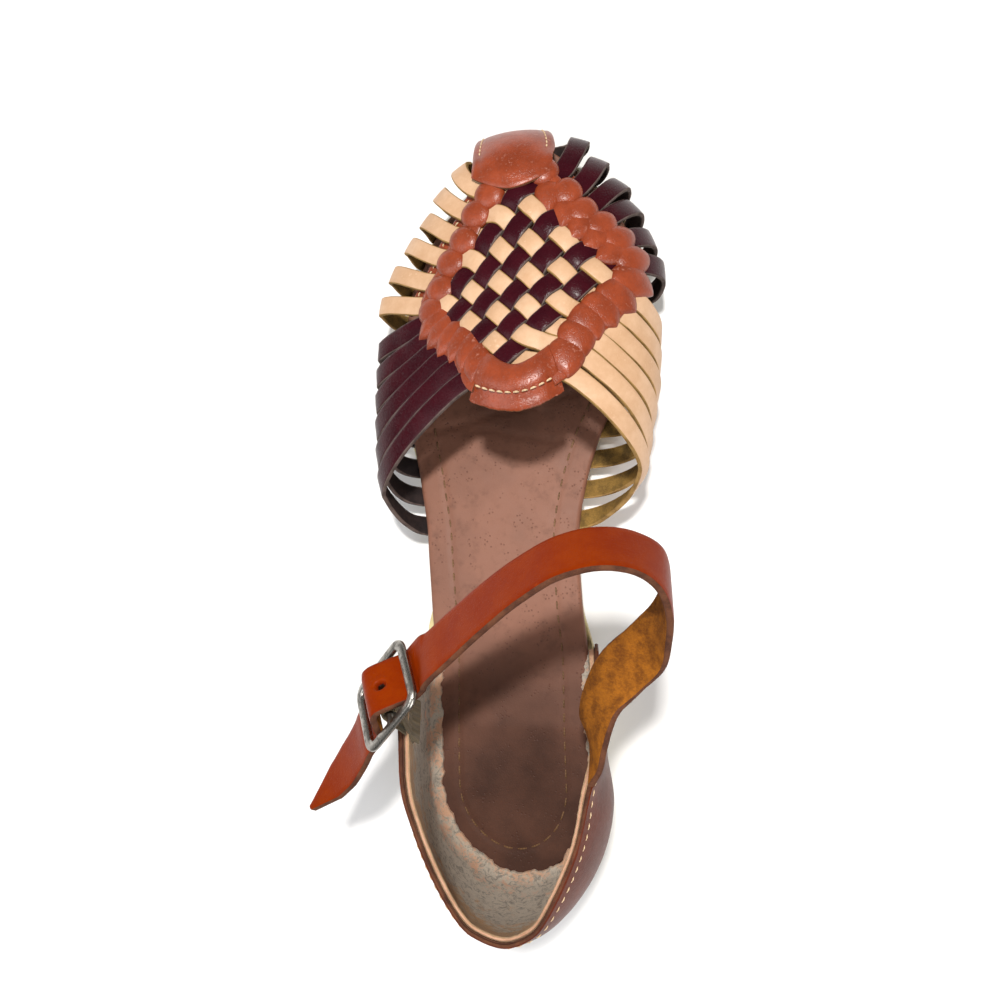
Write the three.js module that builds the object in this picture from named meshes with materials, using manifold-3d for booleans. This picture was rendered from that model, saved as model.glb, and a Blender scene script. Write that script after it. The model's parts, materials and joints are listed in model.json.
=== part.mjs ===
// A woven huarache sandal, left foot: a low moulded sole, an insole, an upper of twelve crossed
// straps, a leather frame round the weave, a closed quarter, and an ankle strap with its buckle.
//
// Millimetres, +Z up. The origin is on the floor under the middle of the heel. +Y points to the
// toe, +X to the medial side and -X to the lateral side.

import * as THREE from "three";
import { mergeVertices } from "three/addons/utils/BufferGeometryUtils.js";
import Module from "manifold-3d";

const wasm = await Module();
wasm.setup();

// ---------------------------------------------------------------------------------------------
// Driving dimensions
// ---------------------------------------------------------------------------------------------

const insoleBack = -30;
const insoleFront = 219;
const toeCapStart = 180;
const soleThickness = 5.6;
const soleEndGrowth = { back: 3.5, front: 1.5 };
const heelBreast = 34;
const breastRun = 2;
const gap = 0.3;
const strapThickness = 1.6;
const weaveThickness = 3.2;
const frameLift = 3.5;
const frameThickness = 1.5;
const tuckLength = 8;
const insoleMargin = 12;
const insoleTopRise = 4.7;
const quarterThickness = 3.0;
const ankleStrapThickness = 2.0;

// Insole outline: its middle line, and the half width on each side of it.
const footprintTable = [
  { y: -30, axis: 3.0, lateral: 26.0, medial: 27.0 },
  { y: 0, axis: 0.5, lateral: 26.5, medial: 27.0 },
  { y: 20, axis: 0.0, lateral: 26.3, medial: 26.8 },
  { y: 42, axis: -0.2, lateral: 26.4, medial: 26.4 },
  { y: 60, axis: -1.7, lateral: 26.4, medial: 25.8 },
  { y: 83, axis: -3.8, lateral: 26.6, medial: 26.4 },
  { y: 100, axis: -4.6, lateral: 28.6, medial: 29.2 },
  { y: 117, axis: -3.6, lateral: 33.0, medial: 32.8 },
  { y: 135, axis: -0.5, lateral: 38.5, medial: 37.5 },
  { y: 152, axis: 1.8, lateral: 41.8, medial: 41.2 },
  { y: 168, axis: 3.2, lateral: 41.0, medial: 41.2 },
  { y: 180, axis: 4.0, lateral: 36.5, medial: 38.5 },
  { y: 190, axis: 4.4, lateral: 33.5, medial: 35.5 },
  { y: 200, axis: 4.7, lateral: 28.5, medial: 30.5 },
  { y: 210, axis: 5.0, lateral: 22.5, medial: 26.0 },
  { y: 220, axis: 5.0, lateral: 16.0, medial: 19.0 },
];

// How far the outsole stands out past the insole on each side.
const outsoleGrowthTable = [
  { y: -33, lateral: 3.5, medial: 3.5 },
  { y: 30, lateral: 3.5, medial: 3.5 },
  { y: 50, lateral: 3.0, medial: 1.0 },
  { y: 60, lateral: 0.4, medial: -0.4 },
  { y: 80, lateral: -0.6, medial: -0.6 },
  { y: 92, lateral: -0.6, medial: -1.0 },
  { y: 108, lateral: 1.0, medial: -1.0 },
  { y: 135, lateral: 2.0, medial: 2.0 },
  { y: 222, lateral: 2.0, medial: 2.0 },
];

// Height of the outsole's top: the heel seat, the shank, the ball and the toe spring.
const soleTopTable = [
  { y: 20, z: 17.0 },
  { y: 60, z: 13.5 },
  { y: 90, z: 8.8 },
  { y: 115, z: 6.0 },
  { y: 135, z: 5.2 },
  { y: 165, z: 5.0 },
  { y: 185, z: 5.6 },
  { y: 200, z: 7.0 },
  { y: 212, z: 9.0 },
  { y: 220, z: 10.6 },
];

// Foot form under the straps: its widest points on each side, at the height of the belt.
const formWidthTable = [
  { y: 84, lateral: -34.4, medial: 28.0 },
  { y: 91, lateral: -38.9, medial: 34.0 },
  { y: 99, lateral: -41.4, medial: 40.4 },
  { y: 108, lateral: -42.8, medial: 44.7 },
  { y: 117, lateral: -43.6, medial: 45.9 },
  { y: 135, lateral: -44.6, medial: 48.4 },
  { y: 150, lateral: -44.2, medial: 48.9 },
  { y: 162, lateral: -42.6, medial: 49.2 },
  { y: 171.7, lateral: -39.3, medial: 48.2 },
  { y: 179.5, lateral: -35.2, medial: 45.4 },
  { y: 187, lateral: -29.9, medial: 41.9 },
  { y: 198, lateral: -23.6, medial: 36.4 },
  { y: 206, lateral: -16.2, medial: 29.4 },
  { y: 215, lateral: -5.4, medial: 21.4 },
];

// Foot form over the straps: the ridge's place, its rise above the insole, and the belt's rise
// above the strap ends.
const formRidgeTable = [
  { y: 84, x: 10, rise: 52, belt: 18 },
  { y: 95, x: 10, rise: 52.5, belt: 19.5 },
  { y: 108, x: 10, rise: 51.5, belt: 19.7 },
  { y: 122, x: 11, rise: 49.5, belt: 18.7 },
  { y: 135, x: 12, rise: 46, belt: 16.8 },
  { y: 150, x: 15, rise: 41.5, belt: 15 },
  { y: 162, x: 17, rise: 38, belt: 13.8 },
  { y: 175, x: 15, rise: 34, belt: 12.6 },
  { y: 187, x: 11, rise: 30, belt: 10.9 },
  { y: 198, x: 7, rise: 25.5, belt: 9 },
  { y: 206, x: 5, rise: 21, belt: 7.6 },
  { y: 214, x: 5, rise: 15, belt: 6.2 },
  { y: 220, x: 5, rise: 8, belt: 5 },
];

// How the form falls from its ridge to the belt on each side: slope is how soon it falls away, and
// edge is how square it turns down at the belt (1 is a plain corner, less is rounder).
const formFallTable = [
  { y: 84, lateralSlope: 1.9, lateralEdge: 0.6, medialSlope: 2.2, medialEdge: 0.46 },
  { y: 95, lateralSlope: 1.8, lateralEdge: 0.65, medialSlope: 2.2, medialEdge: 0.46 },
  { y: 108, lateralSlope: 1.7, lateralEdge: 0.7, medialSlope: 2.2, medialEdge: 0.46 },
  { y: 122, lateralSlope: 1.6, lateralEdge: 0.75, medialSlope: 2.2, medialEdge: 0.46 },
  { y: 135, lateralSlope: 1.5, lateralEdge: 0.8, medialSlope: 2.1, medialEdge: 0.47 },
  { y: 150, lateralSlope: 1.45, lateralEdge: 0.85, medialSlope: 2.1, medialEdge: 0.47 },
  { y: 162, lateralSlope: 1.4, lateralEdge: 0.85, medialSlope: 2.1, medialEdge: 0.47 },
  { y: 175, lateralSlope: 1.45, lateralEdge: 0.8, medialSlope: 2.2, medialEdge: 0.46 },
  { y: 187, lateralSlope: 1.6, lateralEdge: 0.7, medialSlope: 2.4, medialEdge: 0.44 },
  { y: 198, lateralSlope: 1.9, lateralEdge: 0.55, medialSlope: 2.6, medialEdge: 0.4 },
  { y: 206, lateralSlope: 2.4, lateralEdge: 0.42, medialSlope: 2.8, medialEdge: 0.36 },
  { y: 214, lateralSlope: 3, lateralEdge: 0.33, medialSlope: 3, medialEdge: 0.33 },
  { y: 220, lateralSlope: 3, lateralEdge: 0.33, medialSlope: 3, medialEdge: 0.33 },
];

// The leather frame round the weave, from above: radii about its centre by angle in degrees, with
// 0 at the medial side and 90 at the toe. wall is where the woven wall under it ends.
const frameCentre = { x: 8, y: 166 };
const frameTable = [
  { angle: 0, inner: 31.0, outer: 35.5, wall: 34.0 },
  { angle: 25, inner: 26.0, outer: 31.0, wall: 29.5 },
  { angle: 48, inner: 22.7, outer: 30.3, wall: 28.0 },
  { angle: 70, inner: 27.0, outer: 35.0, wall: 33.0 },
  { angle: 92, inner: 34.0, outer: 42.0, wall: 39.0 },
  { angle: 115, inner: 26.0, outer: 36.0, wall: 34.0 },
  { angle: 138, inner: 20.2, outer: 30.3, wall: 28.0 },
  { angle: 165, inner: 24.0, outer: 31.1, wall: 29.5 },
  { angle: 192, inner: 29.8, outer: 38.0, wall: 35.5 },
  { angle: 210, inner: 26.5, outer: 39.0, wall: 36.0 },
  { angle: 231, inner: 24.2, outer: 37.0, wall: 33.0 },
  { angle: 250, inner: 27.0, outer: 43.0, wall: 38.5 },
  { angle: 268, inner: 31.0, outer: 44.0, wall: 39.0 },
  { angle: 290, inner: 25.0, outer: 40.0, wall: 35.5 },
  { angle: 314, inner: 21.6, outer: 33.0, wall: 30.0 },
  { angle: 338, inner: 26.0, outer: 35.0, wall: 33.0 },
  { angle: 360, inner: 31.0, outer: 35.5, wall: 34.0 },
];

// The four fans of six strap ends. Each runs from the weave's edge at an angle of the frame, over
// the belt line at a y of its own, to its tuck under the insole. Values go from first to last.
const strapFans = [
  { side: -1, angle: [109, 184], belt: [206, 162.5], tuck: [203, 155], width: 6.3 },
  { side: 1, angle: [350, 289], belt: [149, 103], tuck: [142, 89], width: 6.4 },
  { side: 1, angle: [82, 12], belt: [213, 170], tuck: [210, 165], width: 6.6 },
  { side: -1, angle: [203, 247], belt: [144, 100], tuck: [137, 86.5], width: 7.0 },
];
const strapsInFan = 6;

// Toe tab past the frame: its inner face's height and its edges, and how far the edges drop.
const toeTabTable = [
  { y: 213, z: 32.6, lateral: -10.6, medial: 16.6, drop: 2.2 },
  { y: 218, z: 26.5, lateral: -11.0, medial: 16.2, drop: 2.0 },
  { y: 220.8, z: 20.5, lateral: -11.2, medial: 15.6, drop: 1.4 },
  { y: 220.8, z: 15.2, lateral: -11.0, medial: 15.0, drop: 0.6 },
];
const toeTabWidth = { lateral: -10.4, medial: 17 };
const toeTabStart = 196;
const toeTabFormEnd = 206;
const toeTabTuck = { from: 219.2, to: 214.4, lateral: -9.5, medial: 13.5 };

// Quarter, from its lateral front corner (-6) round the heel (0) to its medial front corner (6):
// the y of its foot on the insole's outline, its rim's outer edge, and its swell at mid height.
const quarterTable = [
  { y: -6, foot: 47, rimX: -30.1, rimY: 46.4, rise: 4, swell: 0 },
  { y: -5, foot: 41, rimX: -28.4, rimY: 40, rise: 24, swell: 0.6 },
  { y: -4, foot: 34, rimX: -25.8, rimY: 31.5, rise: 50.5, swell: 1.5 },
  { y: -3, foot: 16, rimX: -24.4, rimY: 13.8, rise: 51.5, swell: 2 },
  { y: -2, foot: 0, rimX: -20, rimY: 0.5, rise: 53, swell: 2.5 },
  { y: -1, foot: -21.2, rimX: -10, rimY: -18.8, rise: 54.5, swell: 4 },
  { y: -0.5, foot: -27.7, rimX: -2.9, rimY: -26.2, rise: 55.3, swell: 4.6 },
  { y: 0, foot: -30, rimX: 6.2, rimY: -28.6, rise: 56, swell: 5 },
  { y: 0.5, foot: -27.7, rimX: 14.4, rimY: -25.4, rise: 55.6, swell: 5.6 },
  { y: 1, foot: -21.2, rimX: 19.7, rimY: -17.9, rise: 55, swell: 6 },
  { y: 2, foot: 0, rimX: 27.3, rimY: 0.5, rise: 54, swell: 6.3 },
  { y: 3, foot: 16, rimX: 30.3, rimY: 14.2, rise: 53, swell: 3.4 },
  { y: 3.5, foot: 22, rimX: 31.8, rimY: 20.6, rise: 41, swell: 2.4 },
  { y: 4, foot: 28, rimX: 32.2, rimY: 27, rise: 28, swell: 1.2 },
  { y: 4.7, foot: 36, rimX: 31.2, rimY: 34.6, rise: 17, swell: 0.6 },
  { y: 6, foot: 47, rimX: 29.7, rimY: 46.4, rise: 4, swell: 0 },
];

// Ankle strap from the quarter to the buckle: its middle line, its width, and its lean in degrees
// from upright, with the top edge outward where it is positive.
const ankleStrapTable = [
  { x: 30.4, y: 22.2, z: 65, lean: 8, width: 19.0 },
  { x: 30.7, y: 29.7, z: 69.5, lean: 28, width: 17.0 },
  { x: 33.9, y: 41.8, z: 72, lean: 45, width: 15.8 },
  { x: 39.3, y: 49.3, z: 75, lean: 70, width: 15.8 },
  { x: 45.3, y: 55.5, z: 79, lean: 60, width: 15.8 },
  { x: 49.8, y: 63.7, z: 86, lean: 25, width: 15.8 },
  { x: 51.1, y: 71.5, z: 93, lean: 0, width: 15.8 },
  { x: 48.8, y: 78.9, z: 99, lean: -22, width: 15.8 },
  { x: 42.9, y: 82.8, z: 103, lean: -33, width: 15.8 },
  { x: 34.2, y: 84, z: 106, lean: -36, width: 15.8 },
  { x: 24.6, y: 81.8, z: 106, lean: -36, width: 15.8 },
  { x: 14.6, y: 76.1, z: 103, lean: -36, width: 15.8 },
  { x: 4, y: 68, z: 98, lean: -38, width: 15.8 },
  { x: -5.8, y: 59.5, z: 92, lean: -40, width: 15.8 },
  { x: -13.5, y: 52.6, z: 87, lean: -42, width: 15.8 },
];

// Buckle: its centre, its own axes (along the strap, across it, and out of it) and its sizes.
const buckleCentre = new THREE.Vector3(-25.8, 42.2, 80);
const buckleAlong = new THREE.Vector3(-0.56, -0.686, -0.462).normalize();
const buckleOut = new THREE.Vector3(-0.754, 0.1944, 0.627).normalize();
const buckle = { length: 22, width: 23, inside: 17.6, bar: 2.6, thickness: 1.8, corner: 4 };
const centreBar = { radius: 1.1, bite: 1 };

// The strap through the buckle, in the buckle's own axes: along it and out of it.
const buckleStrapTable = [
  { along: -11, out: -2.9, width: 15.8 },
  { along: -8.2, out: -2.5, width: 15.8 },
  { along: -4.6, out: 0.9, width: 15.8 },
  { along: 0, out: 3.7, width: 15.8 },
  { along: 4.6, out: 0.9, width: 15.8 },
  { along: 8.2, out: -2.5, width: 15.8 },
  { along: 11, out: -2.9, width: 15.8 },
  { along: 15, out: -3.0, width: 15.6 },
];

// The strap's free tail, down to its pointed tip.
const strapTailTable = [
  { x: -37.4, y: 24.2, z: 68.5, width: 15.4 },
  { x: -42.6, y: 16.6, z: 64.2, width: 15.2 },
  { x: -47.4, y: 10.6, z: 61.8, width: 12.0 },
  { x: -55.5, y: 1.6, z: 60.0, width: 1.6 },
];

// Elastic loop: a strip round the buckle's bar, with both ends on the inside of the quarter.
const elastic = { width: 13, thickness: 1.0, loopRadius: 1.9, layerOffset: 0.65 };
const elasticFoot = new THREE.Vector3(-20.2, 29, 61);
const elasticFootAcross = new THREE.Vector3(0, -0.75, 0.66).normalize();
const elasticFootOut = new THREE.Vector3(1, 0, 0);

// Prong: an eye on the bar and a tapered pin swung aside, past the frame's edge.
const prong = { eyeInner: 1.4, eyeOuter: 2.4, eyeWidth: 1.5, eyeAt: -8.4 };
const prongPin = { rootRadius: 0.85, tipRadius: 0.45 };
const prongTip = new THREE.Vector3(3, -13.2, -2.45);

// ---------------------------------------------------------------------------------------------
// Tables and curves
// ---------------------------------------------------------------------------------------------

function secant(table, name, key, i) {
  return (table[i + 1][name] - table[i][name]) / (table[i + 1][key] - table[i][key]);
}

function tangent(table, name, key, i) {
  const before = secant(table, name, key, Math.max(i - 1, 0));
  const after = secant(table, name, key, Math.min(i, table.length - 2));
  return before * after <= 0 ? 0 : (2 * before * after) / (before + after);
}

// A column's value at a place along the table: a cubic through the rows that never overshoots.
function column(table, name, place, key = "y") {
  const last = table.length - 1;
  const at = THREE.MathUtils.clamp(place, table[0][key], table[last][key]);
  let i = 0;
  while (i < last - 1 && at > table[i + 1][key]) {
    i += 1;
  }
  const span = table[i + 1][key] - table[i][key];
  const f = (at - table[i][key]) / span;
  const rise = table[i + 1][name] - table[i][name];
  const startSlope = tangent(table, name, key, i) * span;
  const endSlope = tangent(table, name, key, i + 1) * span;
  const ease = f * f * (3 - 2 * f);
  return table[i][name] + rise * ease + startSlope * f * (1 - f) ** 2 - endSlope * f * f * (1 - f);
}

function mix(range, fraction) {
  return range[0] + (range[1] - range[0]) * fraction;
}

function radians(degrees) {
  return THREE.MathUtils.degToRad(degrees);
}

// Numbers from one value to another, both included.
function steps(from, to, count) {
  return Array.from({ length: count + 1 }, (_, i) => from + ((to - from) * i) / count);
}

// ---------------------------------------------------------------------------------------------
// Solids
// ---------------------------------------------------------------------------------------------

// Triangles over a closed ring of points, seen along the ring's own mean normal.
function capTriangles(ring) {
  const centre = new THREE.Vector3();
  ring.forEach((p) => centre.addScaledVector(p, 1 / ring.length));
  const normal = new THREE.Vector3();
  ring.forEach((p, i) => {
    const next = ring[(i + 1) % ring.length];
    const spoke = p.clone().sub(centre);
    normal.add(spoke.cross(next.clone().sub(centre)));
  });
  normal.normalize();
  const helper = Math.abs(normal.x) < 0.8 ? new THREE.Vector3(1, 0, 0) : new THREE.Vector3(0, 1, 0);
  const right = helper.cross(normal).normalize();
  const up = normal.clone().cross(right);
  const flat = ring.map((p) => new THREE.Vector2(p.dot(right), p.dot(up)));
  return THREE.ShapeUtils.triangulateShape(flat, []);
}

function signedVolume(points, triangles) {
  return triangles.reduce((sum, [a, b, c]) => {
    const normal = points[b].clone().cross(points[c]);
    return sum + points[a].dot(normal) / 6;
  }, 0);
}

// A geometry with its faces turned outward.
function geometryFrom(points, triangles) {
  const outward = signedVolume(points, triangles) > 0;
  const ordered = outward ? triangles : triangles.map(([a, b, c]) => [a, c, b]);
  const geometry = new THREE.BufferGeometry().setFromPoints(points);
  geometry.setIndex(ordered.flat());
  return geometry;
}

// A closed body through rings of equal length, capped at both ends unless it joins up with itself.
function loft(rings, joined = false) {
  const size = rings[0].length;
  const points = rings.flat();
  const triangles = [];
  const bands = joined ? rings.length : rings.length - 1;
  for (let k = 0; k < bands; k += 1) {
    const here = k * size;
    const next = ((k + 1) % rings.length) * size;
    for (let i = 0; i < size; i += 1) {
      const j = (i + 1) % size;
      triangles.push([here + i, here + j, next + j]);
      triangles.push([here + i, next + j, next + i]);
    }
  }
  if (!joined) {
    const end = (rings.length - 1) * size;
    const startCap = capTriangles(rings[0]).map(([a, b, c]) => [a, c, b]);
    const endCap = capTriangles(rings[rings.length - 1]).map((corners) => corners.map((i) => end + i));
    triangles.push(...startCap, ...endCap);
  }
  return geometryFrom(points, triangles);
}

function solidFrom(geometry) {
  const bare = geometry.clone();
  bare.deleteAttribute("normal");
  bare.deleteAttribute("uv");
  const merged = mergeVertices(bare, 1e-4);
  const vertProperties = new Float32Array(merged.attributes.position.array);
  const triVerts = new Uint32Array(merged.index.array);
  return new wasm.Manifold(new wasm.Mesh({ numProp: 3, vertProperties, triVerts }));
}

function geometryOf(solid) {
  const mesh = solid.getMesh();
  const geometry = new THREE.BufferGeometry();
  geometry.setAttribute("position", new THREE.BufferAttribute(new Float32Array(mesh.vertProperties), 3));
  geometry.setIndex(Array.from(mesh.triVerts));
  return geometry;
}

function join(geometries) {
  const solids = geometries.map(solidFrom);
  return geometryOf(solids.reduce((whole, piece) => whole.add(piece)));
}

function piece(name, geometry, colour, roughness, metalness = 0) {
  const material = new THREE.MeshStandardMaterial({ color: colour, roughness, metalness });
  geometry.computeVertexNormals();
  const mesh = new THREE.Mesh(geometry, material);
  mesh.name = name;
  return mesh;
}

// ---------------------------------------------------------------------------------------------
// Sole and insole
// ---------------------------------------------------------------------------------------------

function soleTop(y) {
  return column(soleTopTable, "z", y);
}

function soleBottom(y) {
  const shank = Math.max(0, soleTop(y) - soleThickness);
  return shank * THREE.MathUtils.clamp((y - heelBreast) / breastRun, 0, 1);
}

// Level of the inner face of whatever is tucked between insole and outsole.
function tuckLevel(y) {
  return soleTop(y) + 1.5 * gap + strapThickness;
}

// The two edges of an outline at y, where the insole's outline has grown by given amounts.
function outline(y, grow = { lateral: 0, medial: 0, back: 0, front: 0 }) {
  const back = insoleBack - grow.back;
  const front = insoleFront + grow.front;
  const heelRound = y < 0 ? Math.sqrt(Math.max(0, 1 - (y / back) ** 2)) : 1;
  const toeReach = Math.max(0, (y - toeCapStart) / (front - toeCapStart));
  const toeRound = Math.sqrt(Math.max(0, 1 - toeReach ** 2));
  const axis = column(footprintTable, "axis", y);
  const lateral = (column(footprintTable, "lateral", y) + grow.lateral) * heelRound * toeRound;
  const medial = (column(footprintTable, "medial", y) + grow.medial) * heelRound * toeRound;
  return { lateral: axis - lateral, medial: axis + medial };
}

// Stations along the foot: round at the heel and toe ends, and even between them.
function lengthStations(back, front) {
  const heelAngles = [9, 20, 33, 47, 62, 76];
  const toeAngles = [14, 28, 42, 55, 67, 76, 82];
  const heel = heelAngles.map((angle) => back * Math.cos(radians(angle)));
  const toe = toeAngles.map((angle) => toeCapStart + (front - toeCapStart) * Math.sin(radians(angle)));
  return [...heel, ...steps(0, toeCapStart, 15), ...toe];
}

function buildOutsole() {
  const edgeInset = 1.2;
  const edgeHeight = 2.0;
  const back = insoleBack - soleEndGrowth.back;
  const front = insoleFront + soleEndGrowth.front;
  const breast = [heelBreast, heelBreast + breastRun];
  const stations = [...lengthStations(back, front), ...breast].sort((a, b) => a - b);
  const rings = stations.map((y) => {
    const grow = {
      lateral: column(outsoleGrowthTable, "lateral", y),
      medial: column(outsoleGrowthTable, "medial", y),
      ...soleEndGrowth,
    };
    const edge = outline(y, grow);
    const inset = Math.min(edgeInset, (edge.medial - edge.lateral) / 4);
    const bottom = soleBottom(y);
    const top = soleTop(y);
    return [
      new THREE.Vector3(edge.lateral + inset, y, bottom),
      new THREE.Vector3(edge.medial - inset, y, bottom),
      new THREE.Vector3(edge.medial, y, bottom + edgeHeight),
      new THREE.Vector3(edge.medial, y, top),
      new THREE.Vector3(edge.lateral, y, top),
      new THREE.Vector3(edge.lateral, y, bottom + edgeHeight),
    ];
  });
  return loft(rings);
}

function buildInsole() {
  const marginRise = 2.35;
  const padBack = -17;
  const padFront = 208;
  const padStations = [padBack - 0.6, padBack, padFront, padFront + 0.6];
  const stations = [...lengthStations(insoleBack, insoleFront), ...padStations].sort((a, b) => a - b);
  const rings = stations.map((y) => {
    const edge = outline(y);
    const width = edge.medial - edge.lateral;
    const margin = Math.min(insoleMargin, width * 0.3);
    const bevel = Math.min(0.9, width * 0.1);
    const padDepth = y >= padBack && y <= padFront ? marginRise - gap : 0.1;
    const level = soleTop(y);
    const rows = [
      [edge.lateral, marginRise],
      [edge.lateral + margin, marginRise],
      [edge.lateral + margin + 0.5, marginRise - padDepth],
      [edge.medial - margin - 0.5, marginRise - padDepth],
      [edge.medial - margin, marginRise],
      [edge.medial, marginRise],
      [edge.medial, insoleTopRise - 0.9],
      [edge.medial - bevel, insoleTopRise],
      [(edge.lateral + edge.medial) / 2, insoleTopRise - 0.25],
      [edge.lateral + bevel, insoleTopRise],
      [edge.lateral, insoleTopRise - 0.9],
    ];
    return rows.map(([x, rise]) => new THREE.Vector3(x, y, level + rise));
  });
  return loft(rings);
}

// ---------------------------------------------------------------------------------------------
// Foot form: the inner surface of the straps
// ---------------------------------------------------------------------------------------------

function formSection(y, side) {
  const edge = outline(Math.min(y, insoleFront - 1));
  const name = side < 0 ? "lateral" : "medial";
  return {
    ridgeX: column(formRidgeTable, "x", y),
    ridgeZ: soleTop(y) + insoleTopRise + column(formRidgeTable, "rise", y),
    beltX: column(formWidthTable, name, y),
    beltZ: tuckLevel(y) + column(formRidgeTable, "belt", y),
    edgeX: edge[name],
    tuckZ: tuckLevel(y),
    slope: column(formFallTable, `${name}Slope`, y),
    edge: column(formFallTable, `${name}Edge`, y),
  };
}

// A point of the form. turn is 0 on the ridge, 1 at the belt line, 2 at the insole's edge and 2.4
// at the end of the tuck; side is -1 lateral and 1 medial. From ridge to belt the height falls as
// (1 - reach ^ slope) ^ edge, below the belt it curls in to the insole's edge, then it runs flat.
function formPoint(y, turn, side) {
  const s = formSection(y, side);
  if (turn <= 1) {
    const reach = Math.sin((Math.max(turn, 0) * Math.PI) / 2);
    const x = s.ridgeX + (s.beltX - s.ridgeX) * reach;
    const z = s.beltZ + (s.ridgeZ - s.beltZ) * (1 - reach ** s.slope) ** s.edge;
    return new THREE.Vector3(x, y, z);
  }
  if (turn <= 2) {
    const f = turn - 1;
    const x = s.beltX * (1 - f * f) + s.edgeX * f * f;
    const z = s.tuckZ + (s.beltZ - s.tuckZ) * (1 - f) ** 2;
    return new THREE.Vector3(x, y, z);
  }
  return new THREE.Vector3(s.edgeX - side * (turn - 2) * (tuckLength / 0.4), y, s.tuckZ);
}

function formNormal(y, turn, side) {
  const lengthStep = 0.4;
  const turnStep = 0.004;
  const along = formPoint(y + lengthStep, turn, side).sub(formPoint(y - lengthStep, turn, side));
  const low = Math.max(turn - turnStep, 0);
  const around = formPoint(y, turn + turnStep, side).sub(formPoint(y, low, side));
  return around.cross(along).multiplyScalar(-side).normalize().negate();
}

// The turn at which the form's upper part passes a given x.
function turnAt(x, y) {
  const ridgeX = column(formRidgeTable, "x", y);
  const side = x < ridgeX ? -1 : 1;
  const s = formSection(y, side);
  const reach = THREE.MathUtils.clamp((x - s.ridgeX) / (s.beltX - s.ridgeX), 0, 1);
  return { turn: Math.asin(reach) / (Math.PI / 2), side };
}

// The point above x, y that stands off the form by a distance.
function overForm(x, y, distance) {
  const { turn, side } = turnAt(x, y);
  return formPoint(y, turn, side).addScaledVector(formNormal(y, turn, side), distance);
}

function framePlan(angle, radius) {
  return {
    x: frameCentre.x + radius * Math.cos(radians(angle)),
    y: frameCentre.y + radius * Math.sin(radians(angle)),
  };
}

function frameRadius(angle, name) {
  return column(frameTable, name, ((angle % 360) + 360) % 360, "angle");
}

// ---------------------------------------------------------------------------------------------
// Upper: the woven wall and its twenty-four strap ends, joined
// ---------------------------------------------------------------------------------------------

// The close weave as one wall: polar rings of points on the form, and again one wall higher.
function buildWovenWall() {
  const sectors = 36;
  const circles = 5;
  const points = [];
  const triangles = [];
  const index = (layer, circle, sector) => {
    const layerStart = layer * (1 + circles * sectors);
    return circle === 0 ? layerStart : layerStart + 1 + (circle - 1) * sectors + (sector % sectors);
  };
  [0, weaveThickness].forEach((distance) => {
    points.push(overForm(frameCentre.x, frameCentre.y, distance));
    for (let circle = 1; circle <= circles; circle += 1) {
      for (let sector = 0; sector < sectors; sector += 1) {
        const angle = (sector * 360) / sectors;
        const plan = framePlan(angle, (frameRadius(angle, "wall") * circle) / circles);
        points.push(overForm(plan.x, plan.y, distance));
      }
    }
  });
  for (let sector = 0; sector < sectors; sector += 1) {
    triangles.push([index(1, 0, 0), index(1, 1, sector), index(1, 1, sector + 1)]);
    triangles.push([index(0, 0, 0), index(0, 1, sector + 1), index(0, 1, sector)]);
    for (let circle = 1; circle < circles; circle += 1) {
      const corners = (layer) => [
        index(layer, circle, sector),
        index(layer, circle + 1, sector),
        index(layer, circle + 1, sector + 1),
        index(layer, circle, sector + 1),
      ];
      const [a, b, c, d] = corners(1);
      triangles.push([a, b, c], [a, c, d]);
      const [e, f, g, h] = corners(0);
      triangles.push([e, g, f], [e, h, g]);
    }
    const [top, topNext] = [index(1, circles, sector), index(1, circles, sector + 1)];
    const [low, lowNext] = [index(0, circles, sector), index(0, circles, sector + 1)];
    triangles.push([low, lowNext, topNext], [low, topNext, top]);
  }
  return geometryFrom(points, triangles);
}

// Where one strap end runs: pairs of y and turn, from inside the wall to the end of its tuck.
function strapRoute(fan, fraction) {
  const rootDepth = 6;
  const angle = mix(fan.angle, fraction);
  const plan = framePlan(angle, frameRadius(angle, "wall") - rootDepth);
  const start = turnAt(plan.x, plan.y);
  const startTurn = start.side === fan.side ? start.turn : 0;
  const belt = mix(fan.belt, fraction);
  const tuck = mix(fan.tuck, fraction);
  const turns = [...steps(startTurn, 1, 7), 1.2, 1.45, 1.7, 1.9, 2.05, 2.4];
  const middle = (plan.y + belt) / 2;
  const spots = turns.map((turn) => formPoint(middle, turn, fan.side));
  const travel = spots.map(() => 0);
  for (let i = 1; i < spots.length; i += 1) {
    travel[i] = travel[i - 1] + spots[i].distanceTo(spots[i - 1]);
  }
  const beltTravel = travel[7];
  const endTravel = travel[travel.length - 2];
  return turns.map((turn, i) => {
    const upper = Math.min(travel[i] / beltTravel, 1);
    const lower = THREE.MathUtils.clamp((travel[i] - beltTravel) / (endTravel - beltTravel), 0, 1);
    const settled = lower * (1 + 0.15 * (1 - lower));
    return { y: mix([plan.y, belt], upper) + (tuck - belt) * settled, turn };
  });
}

// One strap end: a flat ribbon carried over the form, its width square to its own run.
function buildStrap(fan, fraction) {
  const route = strapRoute(fan, fraction);
  const centres = route.map(({ y, turn }) => formPoint(y, turn, fan.side));
  const rings = route.map(({ y, turn }, i) => {
    const before = centres[Math.max(i - 1, 0)];
    const after = centres[Math.min(i + 1, centres.length - 1)];
    const along = after.clone().sub(before).normalize();
    const out = formNormal(y, turn, fan.side);
    out.addScaledVector(along, -out.dot(along)).normalize();
    const across = out.clone().cross(along).normalize();
    const lift = 0.6 * Math.max(0, 1 - i / 3);
    return ribbonRing(centres[i], across, out, fan.width, [lift, lift + strapThickness]);
  });
  return loft(rings);
}

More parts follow.
